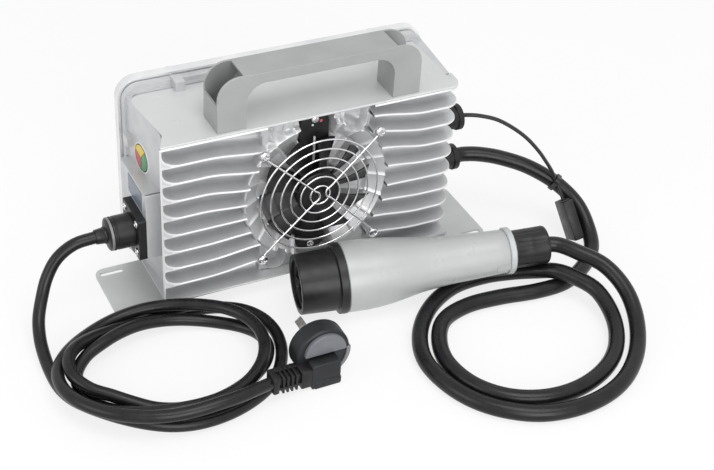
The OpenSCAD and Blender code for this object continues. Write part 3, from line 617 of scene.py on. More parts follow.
ac_mesh = swept(ac_route, round_section(AC_THICK * MM / 2))
ac_cord = piece("mains_lead", ac_mesh, cord_rubber, ["ac_lead", "ac_coil"])
print("mains lead", round(route_length(ac_route), 3), "m")

# %% [markdown]
# ## The casting's cooling fins
# The front of the case is one die casting. On each side of the fan stand eight fins under a flush top edge,
# with deep channels between them. A fin is thin at its rounded crest and thicker at its root, so that it
# leaves the mould, and the channel ends in a round hollow. Such a pack could be a stack of bars, but then
# the roots and crests stay sharp, and the bright line that runs along every crest in the photograph comes
# partly from that rounding; the rest of it is a painted highlight, a paler colour stored on the crest
# points. So one section through all the fins is worked out, and it is drawn along the plan of the case,
# round the corner, with the fins lifted or lowered near the fan.

# %% Sizes of the casting
LEVELS = 9
PITCH = 17.0
CREST = 2.1
BASE_TOP = 17.0
TOP = BASE_TOP + LEVELS * PITCH
FAN_Z = BASE_TOP + LEVELS * PITCH / 2
BODY_HALF = 132.0
WALL_DRAFT = 0.0951
BLOCK_X = 145.7
PACK_HALF = {-1: 140.2, 1: 134.0}
PACK_DEEP = 23.5
CHANNEL_DEEP = 19.0
FLARE_DEEP = 18.0
SIDE_BACK = 25.6
CORNER_R = {-1: 1.6, 1: 16.0}
CLOSED_X = 138.9
END_WIDE = 16.0
END_HIGH = 12.6
WELL_R = 66.0
ROOT_R = 3.0
ROOT_LOW = 6.0
DRAFT = 0.9
BEND_LEFT = [-5, -6, -5, -3, 0, 2, 4, 5]
BEND_RIGHT = [7, 8, 7, 4, 1, 3, 5, 5]
LIFT_FROM = 104
LIFT_OVER = 46
ROUND_HALF = 45
STRAIGHT_END = 48.3
SCREW_AT = 52.5


def wall_at(y):
    """How far out an end wall stands, so far behind the front: it leaves the mould, too."""
    return BODY_HALF + WALL_DRAFT * (y - PACK_DEEP)


def ease(t):
    """From 0 to 1 with a level start and end."""
    t = min(1.0, max(0.0, t))
    return t * t * (3 - 2 * t)


def fin_lift(x, bend):
    """How far a fin is lifted where it nears the fan, in millimetres."""
    return bend * ease((LIFT_FROM - abs(x)) / LIFT_OVER)


def fin_end(z):
    """How far from the middle the fins stop at this height: at the round fan recess, or at the screws."""
    gap = abs(z - FAN_Z)
    return math.sqrt(WELL_R ** 2 - gap ** 2) if gap < ROUND_HALF else STRAIGHT_END


def side_room(x):
    """How deep the pack may be at this place before it would come out through the slanting left side."""
    return max(0.8, (PACK_HALF[-1] - 0.9 - x) * FLARE_DEEP / (PACK_HALF[-1] - wall_at(FLARE_DEEP)))


# %% The section through the fins
def fin_section(side, x, depth):
    """Points (how deep, height, how much painted highlight) from the top edge down to the base plate, at one
    place along the pack. depth goes from 0, where the channels are full of metal, to 1."""
    bends = BEND_LEFT if side < 0 else BEND_RIGHT
    deep = CHANNEL_DEEP * depth
    root = min(ROOT_R, deep * 0.5)
    low_root = min(ROOT_LOW, deep * 0.5)
    lip = min(1.0, depth * 4)
    room = side_room(x) if side < 0 else PACK_DEEP
    # The third value of each point is its painted highlight: strongest on the rounded crests and the top
    # edge, less on the slopes and none deep in the channels.
    points = [(min(PACK_DEEP - 0.3, room), TOP - 0.05, 0), (0.7, TOP - 0.05, 0.3), (0, TOP - 0.7, 0.9)]
    for k in range(LEVELS):
        over = fin_lift(x, bends[k - 1]) if k > 0 else 0
        under = fin_lift(x, bends[k]) if k < LEVELS - 1 else 0
        roof = TOP - k * PITCH - CREST + over
        floor = TOP - (k + 1) * PITCH + under
        floor += end_round(side, x) if k < LEVELS - 1 else 0
        floor = min(floor, roof - 2.5)
        slope = DRAFT * depth
        if k > 0:
            middle = (points[-1][1] + roof + 0.7) / 2
            points.append((0, middle, 0.9 if points[-1][1] - middle < 1.2 else 0.25))
        points.append((0, roof + 0.7, 0.9))
        points.append((0.6 * lip, roof, 0.3))
        points.append((2.5 * lip, roof - slope * 0.15, 0.1))
        points.append((max(2.6 * lip, deep - root), roof - slope, 0))
        for step in (30, 60):
            turn = math.radians(step)
            points.append((max(2.6 * lip, deep - root + root * math.sin(turn)),
                           roof - slope - root * (1 - math.cos(turn)), 0))
        points.append((max(2.6 * lip, deep), roof - slope - root, 0))
        low = floor + slope + low_root
        points.append((max(2.6 * lip, deep), max(low, floor + 0.5), 0))
        for step in (60, 30):
            turn = math.radians(step)
            points.append((max(2.6 * lip, deep - low_root + low_root * math.sin(turn)),
                           floor + slope + low_root * (1 - math.cos(turn)), 0))
        points.append((max(2.6 * lip, deep - low_root), floor + slope, 0))
        points.append((2.5 * lip, floor + slope * 0.15, 0.1))
        points.append((0.6 * lip, floor, 0.3))
        points.append((0, floor - 0.7, 0.9))
    points.append((min(6, room), BASE_TOP + 0.1, 0))
    return points


def end_round(side, x):
    """The left channels end in a rounded corner above each fin."""
    if side > 0:
        return 0
    into = (abs(x) - (CLOSED_X - END_WIDE)) / END_WIDE
    if into <= 0:
        return 0
    return END_HIGH * (1 - math.sqrt(1 - min(into, 1) ** 2))


# %% The plan of a pack
RUN_STEPS = 36
RUN_MIDDLE = 60
# Painted highlight at the closed ends of the packs, by kind of station, where the channels have run out.
END_HIGHLIGHT = {"reach": 0.35, "corner": 0.6, "side": 0.08}
REACH_X = {-1: CLOSED_X - END_WIDE, 1: 117.0}
CORNER_TURNS = [math.radians(a) for a in range(6, 91, 6)]


def plan_places(side):
    """Stations along one pack, from the fan to the side wall: a share of the run, a place near its end, an
    angle round the corner, or a share of the side."""
    places = [("run", k / RUN_STEPS) for k in range(RUN_STEPS + 1)]
    if side < 0:
        places += [("reach", CLOSED_X - END_WIDE * (1 - math.sin(turn))) for turn in CORNER_TURNS]
        places += [("reach", CLOSED_X + 0.3)]
    places += [("corner", turn) for turn in CORNER_TURNS]
    places += [("side", 0.4), ("side", 0.8), ("side", 1.0)]
    return places


def pack_point(side, place, deep, z):
    """The point of a pack at a station, so deep behind the front and at this height, in millimetres."""
    kind, value = place
    start = fin_end(z)
    corner = CORNER_R[side]
    half = PACK_HALF[side]
    if kind == "run":
        return side * (start + (REACH_X[side] - start) * value), deep
    if kind == "reach":
        return side * value, deep
    if kind == "corner":
        x = half - corner + corner * math.sin(value)
        y = corner - corner * math.cos(value)
    else:
        y = corner + (SIDE_BACK - corner) * value
        x = half - (half - wall_at(y) - 0.05) * min(1, y / FLARE_DEEP) if side < 0 else half
    share = deep / PACK_DEEP
    inner_x = min(x, BODY_HALF - 0.2)
    return side * (x + (inner_x - x) * share), y + (PACK_DEEP - y) * share


def station_x(side, place):
    """About where along the case a station is, for the lift of the fins."""
    kind, value = place
    if kind == "run":
        return RUN_MIDDLE + (REACH_X[side] - RUN_MIDDLE) * value
    if kind == "reach":
        return value
    if kind == "corner":
        return PACK_HALF[side] - CORNER_R[side] + CORNER_R[side] * math.sin(value)
    return PACK_HALF[side]


def channel_depth(side, place):
    """The channels stay open on the right. On the left they run out before they reach the slanting side."""
    if side > 0 or place[0] == "run":
        return 1.0
    if place[0] != "reach" or place[1] > CLOSED_X:
        return 0.0
    return min(1.0, side_room(place[1]) / CHANNEL_DEEP)


def fin_pack(side):
    """One side's fins as a mesh, with the painted highlight of each point."""
    rings, highlight_levels = [], []
    for place in plan_places(side):
        depth = channel_depth(side, place)
        section = fin_section(side, station_x(side, place), depth)
        rings.append([at(*pack_point(side, place, deep, z), z) for deep, z, _ in section])
        highlight_levels.append([END_HIGHLIGHT.get(place[0], highlight_level) if depth == 0 else highlight_level for _, _, highlight_level in section])
    order = 1 if side < 0 else -1
    mesh = skin(rings[::order], closed=False, caps=False)
    stored(mesh, "painted_highlight", "FLOAT", "value", sum(highlight_levels[::order], []))
    bm = bmesh.new()
    bm.from_mesh(mesh)
    bmesh.ops.remove_doubles(bm, verts=bm.verts, dist=0.02 * MM)
    return saved(bm)


# %% [markdown]
# ## The recess around the fan
# Between the two packs the casting sinks to the fan. Its floor carries thin ribs that run to the middle
# like spokes; outside them a ring of slanting facets climbs to the ends of the fins, one facet to each
# sector; and in the corners above and below, wavy ribs and two round-bottomed pockets carry on to the edge.
# All of it can be seen from the front, so it is a height field: a disc of points on turns and radii, each
# with its own depth. The outer rim of the disc follows the packs and the edges of the case.

# %% The depth of the recess
SECTORS = 20
FLOOR_R = 51.0
FLOOR_DEEP = 19.0
RIB_HIGH = 6.5
RIB_START = 22
RING_LOW = 15.0
RING_HIGH = 5.5
RIM_DEEP = 11.0
FACET_TILT = 2.6
BRACKET_HALF = 14.6
BRACKET_ROOM = 19.0
POCKETS = [(35.5, 156.0, 11.5, 12.0), (-35.0, 29.0, 9.5, 11.0)]
POCKET_R = 8.0
POCKET_DEEP = 9.0
LIP_HIGH = 2.0
LIP_HALF = 1.4
RIDGES = [math.radians(a) for a in (107, 115, 123, 131, 139, 72, 64)]
RIDGE_HIGH = 3.0
RIDGE_HALF = 1.5


def rib_profile(turn, radius, half, count):
    """1 on a spoke and 0 between the spokes."""
    sector = 2 * math.pi / count
    off = (turn + sector / 2) % sector - sector / 2
    return max(0.0, 1 - max(0.0, abs(off) * radius - half) / 0.8)


def ridge_profile(turn, radius):
    """1 on the crest of one of the wavy ridges above the fan."""
    best = 0.0
    for ridge in RIDGES:
        bend = 0.035 * math.sin((radius - WELL_R) * 0.33)
        off = abs(turn - ridge - bend) * radius
        best = max(best, math.exp(-((off / RIDGE_HALF) ** 2)))
    return best


def recess_depth(turn, radius):
    """How deep the casting lies behind the fins' front, and how much painted highlight it gets there."""
    sector = 2 * math.pi / SECTORS
    x = radius * math.cos(turn)
    z = FAN_Z + radius * math.sin(turn)
    tilt = ((turn / sector) % 1.0) - 0.5
    # Painted light: the floor is lightened a little, and its spokes, the ring's spokes, the ridges and the
    # pocket lips more, with a painted highlight.
    highlight_level = 0.0
    if radius <= FLOOR_R:
        spoke = rib_profile(turn, radius, 0.7, SECTORS) * ease((radius - RIB_START) / 4)
        deep = FLOOR_DEEP - RIB_HIGH * spoke
        highlight_level = 0.35 + 0.45 * spoke
    elif radius <= WELL_R - 1.0:
        climb = (radius - FLOOR_R) / (WELL_R - 1.0 - FLOOR_R)
        wall = ease(climb / 0.08)
        slope = RING_LOW + (RING_HIGH - RING_LOW) * climb + FACET_TILT * tilt * (1 - climb * 0.75)
        deep = FLOOR_DEEP + (slope - FLOOR_DEEP) * wall
        spoke = rib_profile(turn, radius, 0.45, SECTORS) * wall
        deep -= 1.5 * spoke
        highlight_level = 0.18 + 0.5 * spoke
    else:
        over = radius - (WELL_R - 1.0)
        ridge = ridge_profile(turn, radius) * ease(over / 4) if z > FAN_Z else 0.0
        deep = RING_HIGH + (RIM_DEEP - RING_HIGH) * ease(over / 4) - RIDGE_HIGH * ridge
        highlight_level = 0.3 * ridge
    for px, pz, half, tall in POCKETS:
        away = max(abs(x - px) - half + POCKET_R, 0) ** 2 + max(abs(z - pz) - tall + POCKET_R, 0) ** 2
        inside = POCKET_R - math.sqrt(away)
        if inside > -2.5 and radius > FLOOR_R + 6:
            lip = max(0.0, 1 - abs(inside) / LIP_HALF)
            deep += POCKET_DEEP * ease((inside - 0.3) / 1.8) - LIP_HIGH * lip
            highlight_level = max(highlight_level * (1 - ease(inside / 1.5)), 0.85 * lip)
    if radius > FLOOR_R - 2 and abs(x) < BRACKET_HALF + 1.5:
        deep += (max(deep, BRACKET_ROOM) - deep) * ease((BRACKET_HALF + 1.5 - abs(x)) / 1.5)
    return deep, highlight_level


# %% The recess as a disc
RECESS_TURNS = 400
RECESS_RADII = [1, 12, 22, 23.5, 25, 27, 31, 36, 41, 46, 49, 51, 51.6, 52.3, 53.5, 56, 59, 62, 64, 65, 66]
RECESS_OUTER = 14
RECESS_WIDE = 49.6
WELL_HIGH = 44.8
FAR_AWAY = 200.0


def recess_edge(turn):
    """How far the disc reaches in this direction: to the fins, or to the top and bottom of the front."""
    c, s = math.cos(turn), math.sin(turn)
    reach = FAR_AWAY
    if abs(s) > 1e-6:
        reach = (TOP - 1.2 - FAN_Z if s > 0 else FAN_Z - BASE_TOP - 1.0) / abs(s)
    if abs(c) > 1e-6 and RECESS_WIDE / abs(c) < reach:
        reach = max(RECESS_WIDE / abs(c), WELL_R + 0.01)
        if abs(s) * reach < WELL_HIGH:
            reach = WELL_R + 0.4
    return max(reach, WELL_R + 0.2)


def recess():
    """The fan's recess and the parts of the front above and below it."""
    rings, highlight_levels = [], []
    for turn in around(RECESS_TURNS):
        far = recess_edge(turn)
        outer = [WELL_R + (far - WELL_R) * (k + 1) / RECESS_OUTER for k in range(RECESS_OUTER)]
        ring, highlight_level = [], []
        for radius in RECESS_RADII + outer:
            deep, mark = recess_depth(turn, radius)
            ring.append(at(radius * math.cos(turn), deep, FAN_Z + radius * math.sin(turn)))
            highlight_level.append(mark)
        ring.append(at(far * math.cos(turn), PACK_DEEP, FAN_Z + far * math.sin(turn)))
        highlight_level.append(0.0)
        rings.append(ring)
        highlight_levels.append(highlight_level)
    count = len(rings[0])
    faces = []
    for i in range(RECESS_TURNS):
        j = (i + 1) % RECESS_TURNS
        for k in range(count - 1):
            faces.append((i * count + k, j * count + k, j * count + k + 1, i * count + k + 1))
    faces.append(tuple(j * count for j in range(RECESS_TURNS)))
    mesh = mesh_of([p for ring in rings for p in ring], faces)
    stored(mesh, "painted_highlight", "FLOAT", "value", sum(highlight_levels, []))
    return mesh


# %% [markdown]
# ## The rest of the casting
# Behind the fins the walls, the flange steps, the lugs and the block over the mains inlet are plain shapes
# that the CAD model already has right. So that part of its mesh is copied, cut off just behind the fins and
# given small rounds on its edges, which catch the light as cast edges do. The same helper softens every
# other CAD part that keeps its shape.

# %% Softened copies of CAD parts
def softened(node, width, corner=32, behind=None):
    """A copy of a CAD node with rounded edges. behind keeps only what lies further back, in millimetres."""
    bm = bmesh.new()
    bm.from_mesh(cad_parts[node].data)
    bmesh.ops.remove_doubles(bm, verts=bm.verts, dist=1e-6)
    if behind is not None:
        plane = at(0, behind, 0)
        cut = bmesh.ops.bisect_plane(bm, geom=bm.verts[:] + bm.edges[:] + bm.faces[:], dist=1e-7,
                                     plane_co=plane, plane_no=(0, -1, 0), clear_outer=True)
        rim = [e for e in cut["geom_cut"] if isinstance(e, bmesh.types.BMEdge)]
        bmesh.ops.triangle_fill(bm, use_beauty=True, use_dissolve=True, edges=rim, normal=(0, -1, 0))
    bmesh.ops.dissolve_limit(bm, angle_limit=math.radians(0.6), verts=bm.verts, edges=bm.edges)
    sharp = [e for e in bm.edges if len(e.link_faces) == 2 and e.calc_face_angle(0) > math.radians(corner)]
    round_edges(bm, sharp, width)
    return saved(bm)


# %% Shading that keeps wide faces flat
def even_shade(mesh, limit=math.radians(50)):
    """Each corner takes the average of the faces around it that turn less than the limit, by their area,
    so that wide faces stay flat and only the rounds between them shade over."""
    faces_at = [[] for _ in mesh.vertices]
    facts = [(p.normal.copy(), p.area) for p in mesh.polygons]
    for p in mesh.polygons:
        p.use_smooth = True
        for v in p.vertices:
            faces_at[v].append(p.index)
    least = math.cos(limit)
    normals = []
    for p in mesh.polygons:
        own = facts[p.index][0]
        for v in p.vertices:
            total = Vector((0, 0, 0))
            for index in faces_at[v]:
                normal, area = facts[index]
                if normal.dot(own) > least:
                    total += normal * area
            normals.append(total.normalized() if total.length > 1e-12 else own)
    for edge in mesh.edges:
        edge.use_edge_sharp = False
    mesh.normals_split_custom_set(normals)


# %% The casting as one piece
def box_between(x0, x1, y0, y1, z0, z1, width):
    """A block between places on the drawing, with rounded edges."""
    middle = Matrix.Translation(at((x0 + x1) / 2, (y0 + y1) / 2, (z0 + z1) / 2))
    return block((x1 - x0, y1 - y0, z1 - z0), middle, width)


SHELL_CUT = PACK_DEEP + 1.1
shell_back = softened("front_shell", 0.7, behind=SHELL_CUT)
block_face = box_between(-BLOCK_X - 0.03, -BODY_HALF + 4, PACK_DEEP, 27, 48.97, 112.5, 0.8)
foot = box_between(-138.6, -131.5, 3, 62, 16.6, 18.0, 0.5)
casting_mesh = joined([fin_pack(-1), fin_pack(1), recess(), shell_back, block_face, foot])
casting = piece("front_casting", casting_mesh, cast_metal, ["front_shell"], turn_out=False)
even_shade(casting.data, math.radians(40))
print("casting", len(casting_mesh.polygons), "faces")

# %% [markdown]
# ## Sheet metal, the rear casting and the fittings on the case
# The rear casting, the gasket, the base plate, the fan's bracket and motor and the inlet block keep the CAD
# shape. They only need edges that are not razor sharp, so each is a softened copy with its own finish.
# The width of the round is what the real part would have: wide on the casting, narrow on cut sheet.

# %% Softened parts
SOFT_PARTS = [
    ("rear_shell", 1.0, rear_metal, "rear"),
    ("shell_gasket", 0.3, seal_rubber, "seal"),
    ("base_plate", 0.4, plate_metal, "sheet"),
    ("fan_bracket", 0.8, black_plastic, "black"),
    ("fan_motor", 0.6, black_plastic, "black"),
    ("inlet_flange", 0.9, black_plastic, "black"),
]
for node, width, material, slot in SOFT_PARTS:
    part = piece(node + "_piece", softened(node, width), material, [node], turn_out=False)
    even_shade(part.data)
print(len(SOFT_PARTS), "softened parts")

# %% [markdown]
# The top sheet lies flush in the casting. Its left edge follows the wall, swings out at the front to where
# the fins end, and is round at the back, so it is drawn as an outline and given its thickness.

# %% The top sheet
SHEET_BACK = 83.6
SHEET_ROUND = 11.0
SHEET_HEIGHTS = (169.98, 172.0)


def sheet_outline():
    """The outline of the top sheet from above, in millimetres."""
    left = -wall_at(SHEET_BACK) + 0.1
    points = [(-126, 0.5), (126.0, 0.5), (127.0, 1.5), (127.0, SHEET_BACK)]
    for k in range(9):
        turn = math.pi / 2 * (1 + k / 8)
        points.append((left + SHEET_ROUND + SHEET_ROUND * math.cos(turn),
                       SHEET_BACK - SHEET_ROUND + SHEET_ROUND * math.sin(turn)))
    return points + [(-wall_at(FLARE_DEEP) + 0.1, FLARE_DEEP + 1), (-139.6, 1.6), (-139.0, 0.5)]


sheet_rims = [[at(x, y, z) for x, y in sheet_outline()] for z in SHEET_HEIGHTS]
sheet_mesh = between(*sheet_rims, 0.5, "rims")
top_sheet = piece("top_sheet_plate", sheet_mesh, top_metal, ["top_sheet"], turn_out=False)
even_shade(top_sheet.data)

# %% [markdown]
# ## The handle
# The handle is one strip of steel folded to a bridge: a foot on each side of the case, two posts, and a
# top web that slants at both ends. A round-cornered window leaves room for a hand. It is softened like the
# other sheet parts, with a wider round, because the fold lines of the real one are soft.

# %% The handle
handle = piece("handle_piece", softened("handle", 0.6), handle_metal, ["handle"], turn_out=False)
even_shade(handle.data)

# %% [markdown]
# ## Screws by Geometry Nodes
# Twenty-two screw heads show on the charger, and they differ only in size and direction. One screw head
# is modelled once: a domed pan head with a cross recess, two units across. A small node tree then puts a
# copy on every marked point, turns it to the point's own direction and scales it to the point's own size.

# %% One screw head
HEAD_HIGH = 0.64
HEAD_SIDES = 32
CROSS_DEEP = 0.30


def screw_head():
    """A pan head of radius 1 on the plane z = 0, with a cross recess. Its foot reaches below the plane."""
    profile = [(0.93, -0.25, 0), (1.0, 0.0, 0), (1.0, 0.18, 0), (0.93, 0.36, 0), (0.78, 0.50, 0),
               (0.62, 0.58, 0), (0.50, 0.61, 1), (0.36, 0.63, 1), (0.2, HEAD_HIGH, 1),
               (0.1, HEAD_HIGH, 1)]
    rings = []
    for radius, height, cross in profile:
        ring = []
        for turn in around(HEAD_SIDES):
            arm = abs(math.cos(2 * turn)) > 0.80
            drop = CROSS_DEEP if cross and (arm and radius < 0.51 or radius < 0.25) else 0
            ring.append((radius * math.cos(turn), radius * math.sin(turn), height - drop))
        rings.append(ring)
    return skin(rings)


head_object = bpy.data.objects.new("screw_head_pattern", screw_head())


# %% The tree that sets screws on points
def build_screw_tree():
    """Copies of a head on every point, turned to the point's axis and scaled to its size."""
    tree, start, end = new_tree(
        "Screws on points", "Geometry",
        [("Points", "Geometry"), ("Head", "Object"), ("Scale", "Float"), ("Material", "Material")],
        [("Screws", "Geometry")], 6)
    head = add_node(tree, "GeometryNodeObjectInfo", 1, 1)
    axis = add_node(tree, "GeometryNodeInputNamedAttribute", 1, 2, {"Name": "axis"},
                    data_type="FLOAT_VECTOR")
    size = add_node(tree, "GeometryNodeInputNamedAttribute", 1, 3, {"Name": "head_size"},
                    data_type="FLOAT_VECTOR")
    turn = add_node(tree, "FunctionNodeAlignRotationToVector", 2, 2, axis="Z")
    times = add_node(tree, "ShaderNodeVectorMath", 2, 3, operation="SCALE")
    place = add_node(tree, "GeometryNodeInstanceOnPoints", 3, 0)
    real = add_node(tree, "GeometryNodeRealizeInstances", 4, 0)
    paint = add_node(tree, "GeometryNodeSetMaterial", 5, 0)
    wire(tree, start, "Points", place, "Points")
    wire(tree, start, "Head", head, "Object")
    wire(tree, head, "Geometry", place, "Instance")
    wire(tree, axis, "Attribute", turn, "Vector")
    wire(tree, turn, "Rotation", place, "Rotation")
    wire(tree, size, "Attribute", times, 0)
    wire(tree, start, "Scale", times, "Scale")
    wire(tree, times, "Vector", place, "Scale")
    wire(tree, place, "Instances", real, "Geometry")
    wire(tree, real, "Geometry", paint, "Geometry")
    wire(tree, start, "Material", paint, "Material")
    wire(tree, paint, "Geometry", end, "Screws")
    return tree


screw_tree = build_screw_tree()


# %% Pieces from a node tree
def baked(points_mesh, tree, values):
    """The result of a node tree on a mesh, as a plain mesh. Modifier inputs are stored under the socket's
    identifier, not its name."""
    obj = bpy.data.objects.new("points", points_mesh)
    bpy.context.scene.collection.objects.link(obj)
    modifier = obj.modifiers.new("nodes", "NODES")
    modifier.node_group = tree
    for item in tree.interface.items_tree:
        if item.item_type == "SOCKET" and item.in_out == "INPUT" and item.name in values:
            modifier[item.identifier] = values[item.name]
    bpy.context.view_layer.update()
    found = bpy.context.evaluated_depsgraph_get()
    mesh = bpy.data.meshes.new_from_object(obj.evaluated_get(found))
    bpy.data.objects.remove(obj)
    return mesh


def screws(name, places, material, node):
    """Screws at (x, y, z), axis, radius and height, all in millimetres, in place of a CAD node."""
    points = mesh_of([at(*p) for p, _, _, _ in places])
    stored(points, "axis", "FLOAT_VECTOR", "vector", [v for _, a, _, _ in places for v in a])
    stored(points, "head_size", "FLOAT_VECTOR", "vector",
           [v for _, _, r, h in places for v in (r, r, h / HEAD_HIGH)])
    mesh = baked(points, screw_tree, {"Head": head_object, "Scale": MM, "Material": material})
    print(name, len(places), "screws")
    return piece(name, mesh, material, [node], turn_out=False, corner=math.radians(30))


# %% All the screws
LEFT, FRONT, UP, DOWN = (-1, 0, 0), (0, -1, 0), (0, 0, 1), (0, 0, -1)
INLET_AT = (-152.65, 43, 69)
screws("sheet_screw_heads", [((x, y, 171.9), UP, 3.2, 0.35) for x in (-114, 114) for y in (32, 76)],
       top_metal, "sheet_screws")
screws("handle_screw_heads", [((x, y, 173.95), UP, 3.6, 2.4) for x in (-78, 78) for y in (12, 24)],
       screw_steel, "handle_screws")
screws("bracket_screw_heads", [((0, 14.0, z), FRONT, 3.6, 2.2) for z in (159.5, 31.5)],
       screw_steel, "bracket_screws")
screws("guard_screw_heads", [((x, -4.05, FAN_Z + z), FRONT, 4.6, 2.6)
                             for x in (-SCREW_AT, SCREW_AT) for z in (-SCREW_AT, SCREW_AT)],
       screw_steel, "guard_screws")
screws("inlet_screw_heads", [((INLET_AT[0], INLET_AT[1] + y, INLET_AT[2] + z), LEFT, 3.3, 1.4)
                             for y in (-14, 14) for z in (-14, 14)],
       screw_steel, "inlet_screws")

# %% [markdown]
# ## The small lamp and the marks on the bracket
# A round lamp with three coloured fields sits on the left end wall, in a thin black ring with a pale rim.
# Each field is a slice of a disc with rounded edges, and a hair's gap keeps them apart. The fan's bracket
# carries two dots, one white and one red.

# %% The lamp
LAMP_AT = (-wall_at(59.0), 59.0, 126.3)
LAMP_AXIS = (-1, -WALL_DRAFT, 0)
LAMP_R = 11.5


def wall_slab(outline, high, width):
    """An outline on the left end wall, in (front, up) millimetres from the lamp's middle, standing high."""
    rows = [[at(LAMP_AT[0] - out + WALL_DRAFT * a, LAMP_AT[1] - a, LAMP_AT[2] + b) for a, b in outline]
            for out in (-0.2, high)]
    return between(*rows, width, "upper")


def field(name, start, end, material, slot, node):
    """One coloured field of the lamp, from one angle to another in degrees."""
    middle = math.radians((start + end) / 2)
    turns = [math.radians(start + 1.5 + (end - start - 3) * k / 20) for k in range(21)]
    outline = [(0.4 * math.cos(middle), 0.4 * math.sin(middle))]
    outline += [(LAMP_R * math.cos(t), LAMP_R * math.sin(t)) for t in turns]
    return piece(name, wall_slab(outline, 1.1, 0.3), material, [node])


field("lamp_yellow_field", 52, 166, lens_yellow, "yellow", "lens_yellow")
field("lamp_red_field", 166, 266, lens_red, "red", "lens_red")
field("lamp_green_field", 266, 412, lens_green, "green", "lens_green")


def flat_ring(inner, outer, high, origin, axis):
    """A flat ring with rounded edges about an axis."""
    profile = [(inner, -0.3), (inner, high - 0.2), (inner + 0.2, high), (outer - 0.2, high),
               (outer, high - 0.2), (outer, -0.3)]
    return turned(profile, origin, axis)


black_ring = flat_ring(11.7, 12.3, 0.9, LAMP_AT, LAMP_AXIS)
piece("lamp_black_ring", black_ring, black_plastic, ["lens_ring"])
piece("lamp_pale_rim", flat_ring(12.25, 13.6, 0.7, LAMP_AT, LAMP_AXIS), white_plastic)

# %% The dots on the bracket
DOT = [(1.0, -0.4), (1.0, 0.25), (0.75, 0.5), (0.3, 0.6), (0.02, 0.6)]
WIDE_DOT = [(r * 1.5, h) for r, h in DOT]
white_dot = turned(DOT, (-2, 14.0, 154.2), FRONT, 24, loop=False)
red_dot = turned(WIDE_DOT, (5.6, 14.0, 157.0), FRONT, 24, loop=False)
piece("bracket_white_dot", white_dot, white_plastic)
piece("bracket_red_dot", red_dot, lens_red)

# %% [markdown]
# ## The fan guard
# The guard is bent from bright wire: six round rings, and two V-shaped arms that lie in front of them,
# run from screw to screw and turn round each screw in a loop. Rings of one wire size differ only in
# radius, so a node tree makes them: a point for each ring carries its radius, a circle is set on each
# point and scaled to it, and the wire is drawn along it afterwards, so that it stays equally thick.

# %% The rings of the guard
RING_RADII = [54.4, 45.3, 36.2, 27.2, 18.1, 9.06]
RING_WIRE = 0.8
ARM_WIRE = 0.92
RING_DEPTH = -1.9
ARM_DEPTH = -3.1
LOOP_R = 3.6
LOOP_TURN = 300
LOOP_STEPS = 14
LEG_STEPS = 7


def build_ring_tree():
    """Wire rings about the fan's axis, one for each point, with the point's own radius."""
    tree, start, end = new_tree(
        "Guard rings", "Geometry",
        [("Points", "Geometry"), ("Wire radius", "Float"), ("Smoothness", "Int"), ("Material", "Material")],
        [("Rings", "Geometry")], 6)
    circle = add_node(tree, "GeometryNodeCurvePrimitiveCircle", 1, 0, {"Radius": 1})
    radius = add_node(tree, "GeometryNodeInputNamedAttribute", 1, 2, {"Name": "ring_radius"},
                      data_type="FLOAT")
    stand = add_node(tree, "FunctionNodeEulerToRotation", 1, 3, {0: (math.pi / 2, 0, 0)})
    place = add_node(tree, "GeometryNodeInstanceOnPoints", 2, 0)
    real = add_node(tree, "GeometryNodeRealizeInstances", 3, 0)
    section = add_node(tree, "GeometryNodeCurvePrimitiveCircle", 3, 1, {"Resolution": 12})
    thick = add_node(tree, "GeometryNodeCurveToMesh", 4, 0)
    paint = add_node(tree, "GeometryNodeSetMaterial", 5, 0)
    wire(tree, start, "Points", place, "Points")
    wire(tree, start, "Smoothness", circle, "Resolution")
    wire(tree, circle, "Curve", place, "Instance")
    wire(tree, stand, 0, place, "Rotation")
    wire(tree, radius, "Attribute", place, "Scale")
    wire(tree, place, "Instances", real, "Geometry")
    wire(tree, start, "Wire radius", section, "Radius")
    wire(tree, real, "Geometry", thick, "Curve")
    wire(tree, section, "Curve", thick, "Profile Curve")
    wire(tree, thick, "Mesh", paint, "Geometry")
    wire(tree, start, "Material", paint, "Material")
    wire(tree, paint, "Geometry", end, "Rings")
    return tree


ring_points = mesh_of([at(0, RING_DEPTH, FAN_Z) for _ in RING_RADII])
stored(ring_points, "ring_radius", "FLOAT", "value", [r * MM for r in RING_RADII])
rings_mesh = baked(ring_points, build_ring_tree(),
                   {"Wire radius": RING_WIRE * MM, "Smoothness": 120, "Material": guard_chrome})
print("guard rings", len(rings_mesh.polygons), "faces")


# %% The arms of the guard
def guard_arm(side, apex_x, apex_z):
    """One V of wire: a loop round the upper screw, down to a rounded apex near the axis, and back out."""
    legs = []
    for half in (1, -1):
        leg = []
        sx, sz = side * SCREW_AT, half * SCREW_AT
        inward = math.atan2(-half, -side)
        for k in range(LOOP_STEPS + 1):
            turn = inward + half * side * math.radians(LOOP_TURN * (k / LOOP_STEPS - 0.5))
            leg.append((sx + LOOP_R * math.cos(turn), sz + LOOP_R * math.sin(turn)))
        start = Vector(leg[-1])
        bow = Vector((apex_x + side * 5.0, apex_z - FAN_Z + half * 6.3))
        leg += [start.lerp(bow, k / LEG_STEPS) for k in range(1, LEG_STEPS + 1)]
        legs.append(leg)
    middle = [(apex_x + side * (1 - math.cos(t)) * 3.6, apex_z - FAN_Z + 4.8 * math.sin(t))
              for t in (1.15, 0.75, 0.35, 0.0, -0.35, -0.75, -1.15)]
    flat = legs[0] + middle + legs[1][::-1]
    return smooth_route([at(x, ARM_DEPTH, FAN_Z + z) for x, z in flat], 3)


ARM_APEX = [(-1, -0.8, 93.3), (1, 4.7, 95.3)]
arm_meshes = [swept(guard_arm(*apex), round_section(ARM_WIRE * MM, 10)) for apex in ARM_APEX]
piece("fan_guard_wires", joined([rings_mesh] + arm_meshes), guard_chrome, ["fan_guard"])

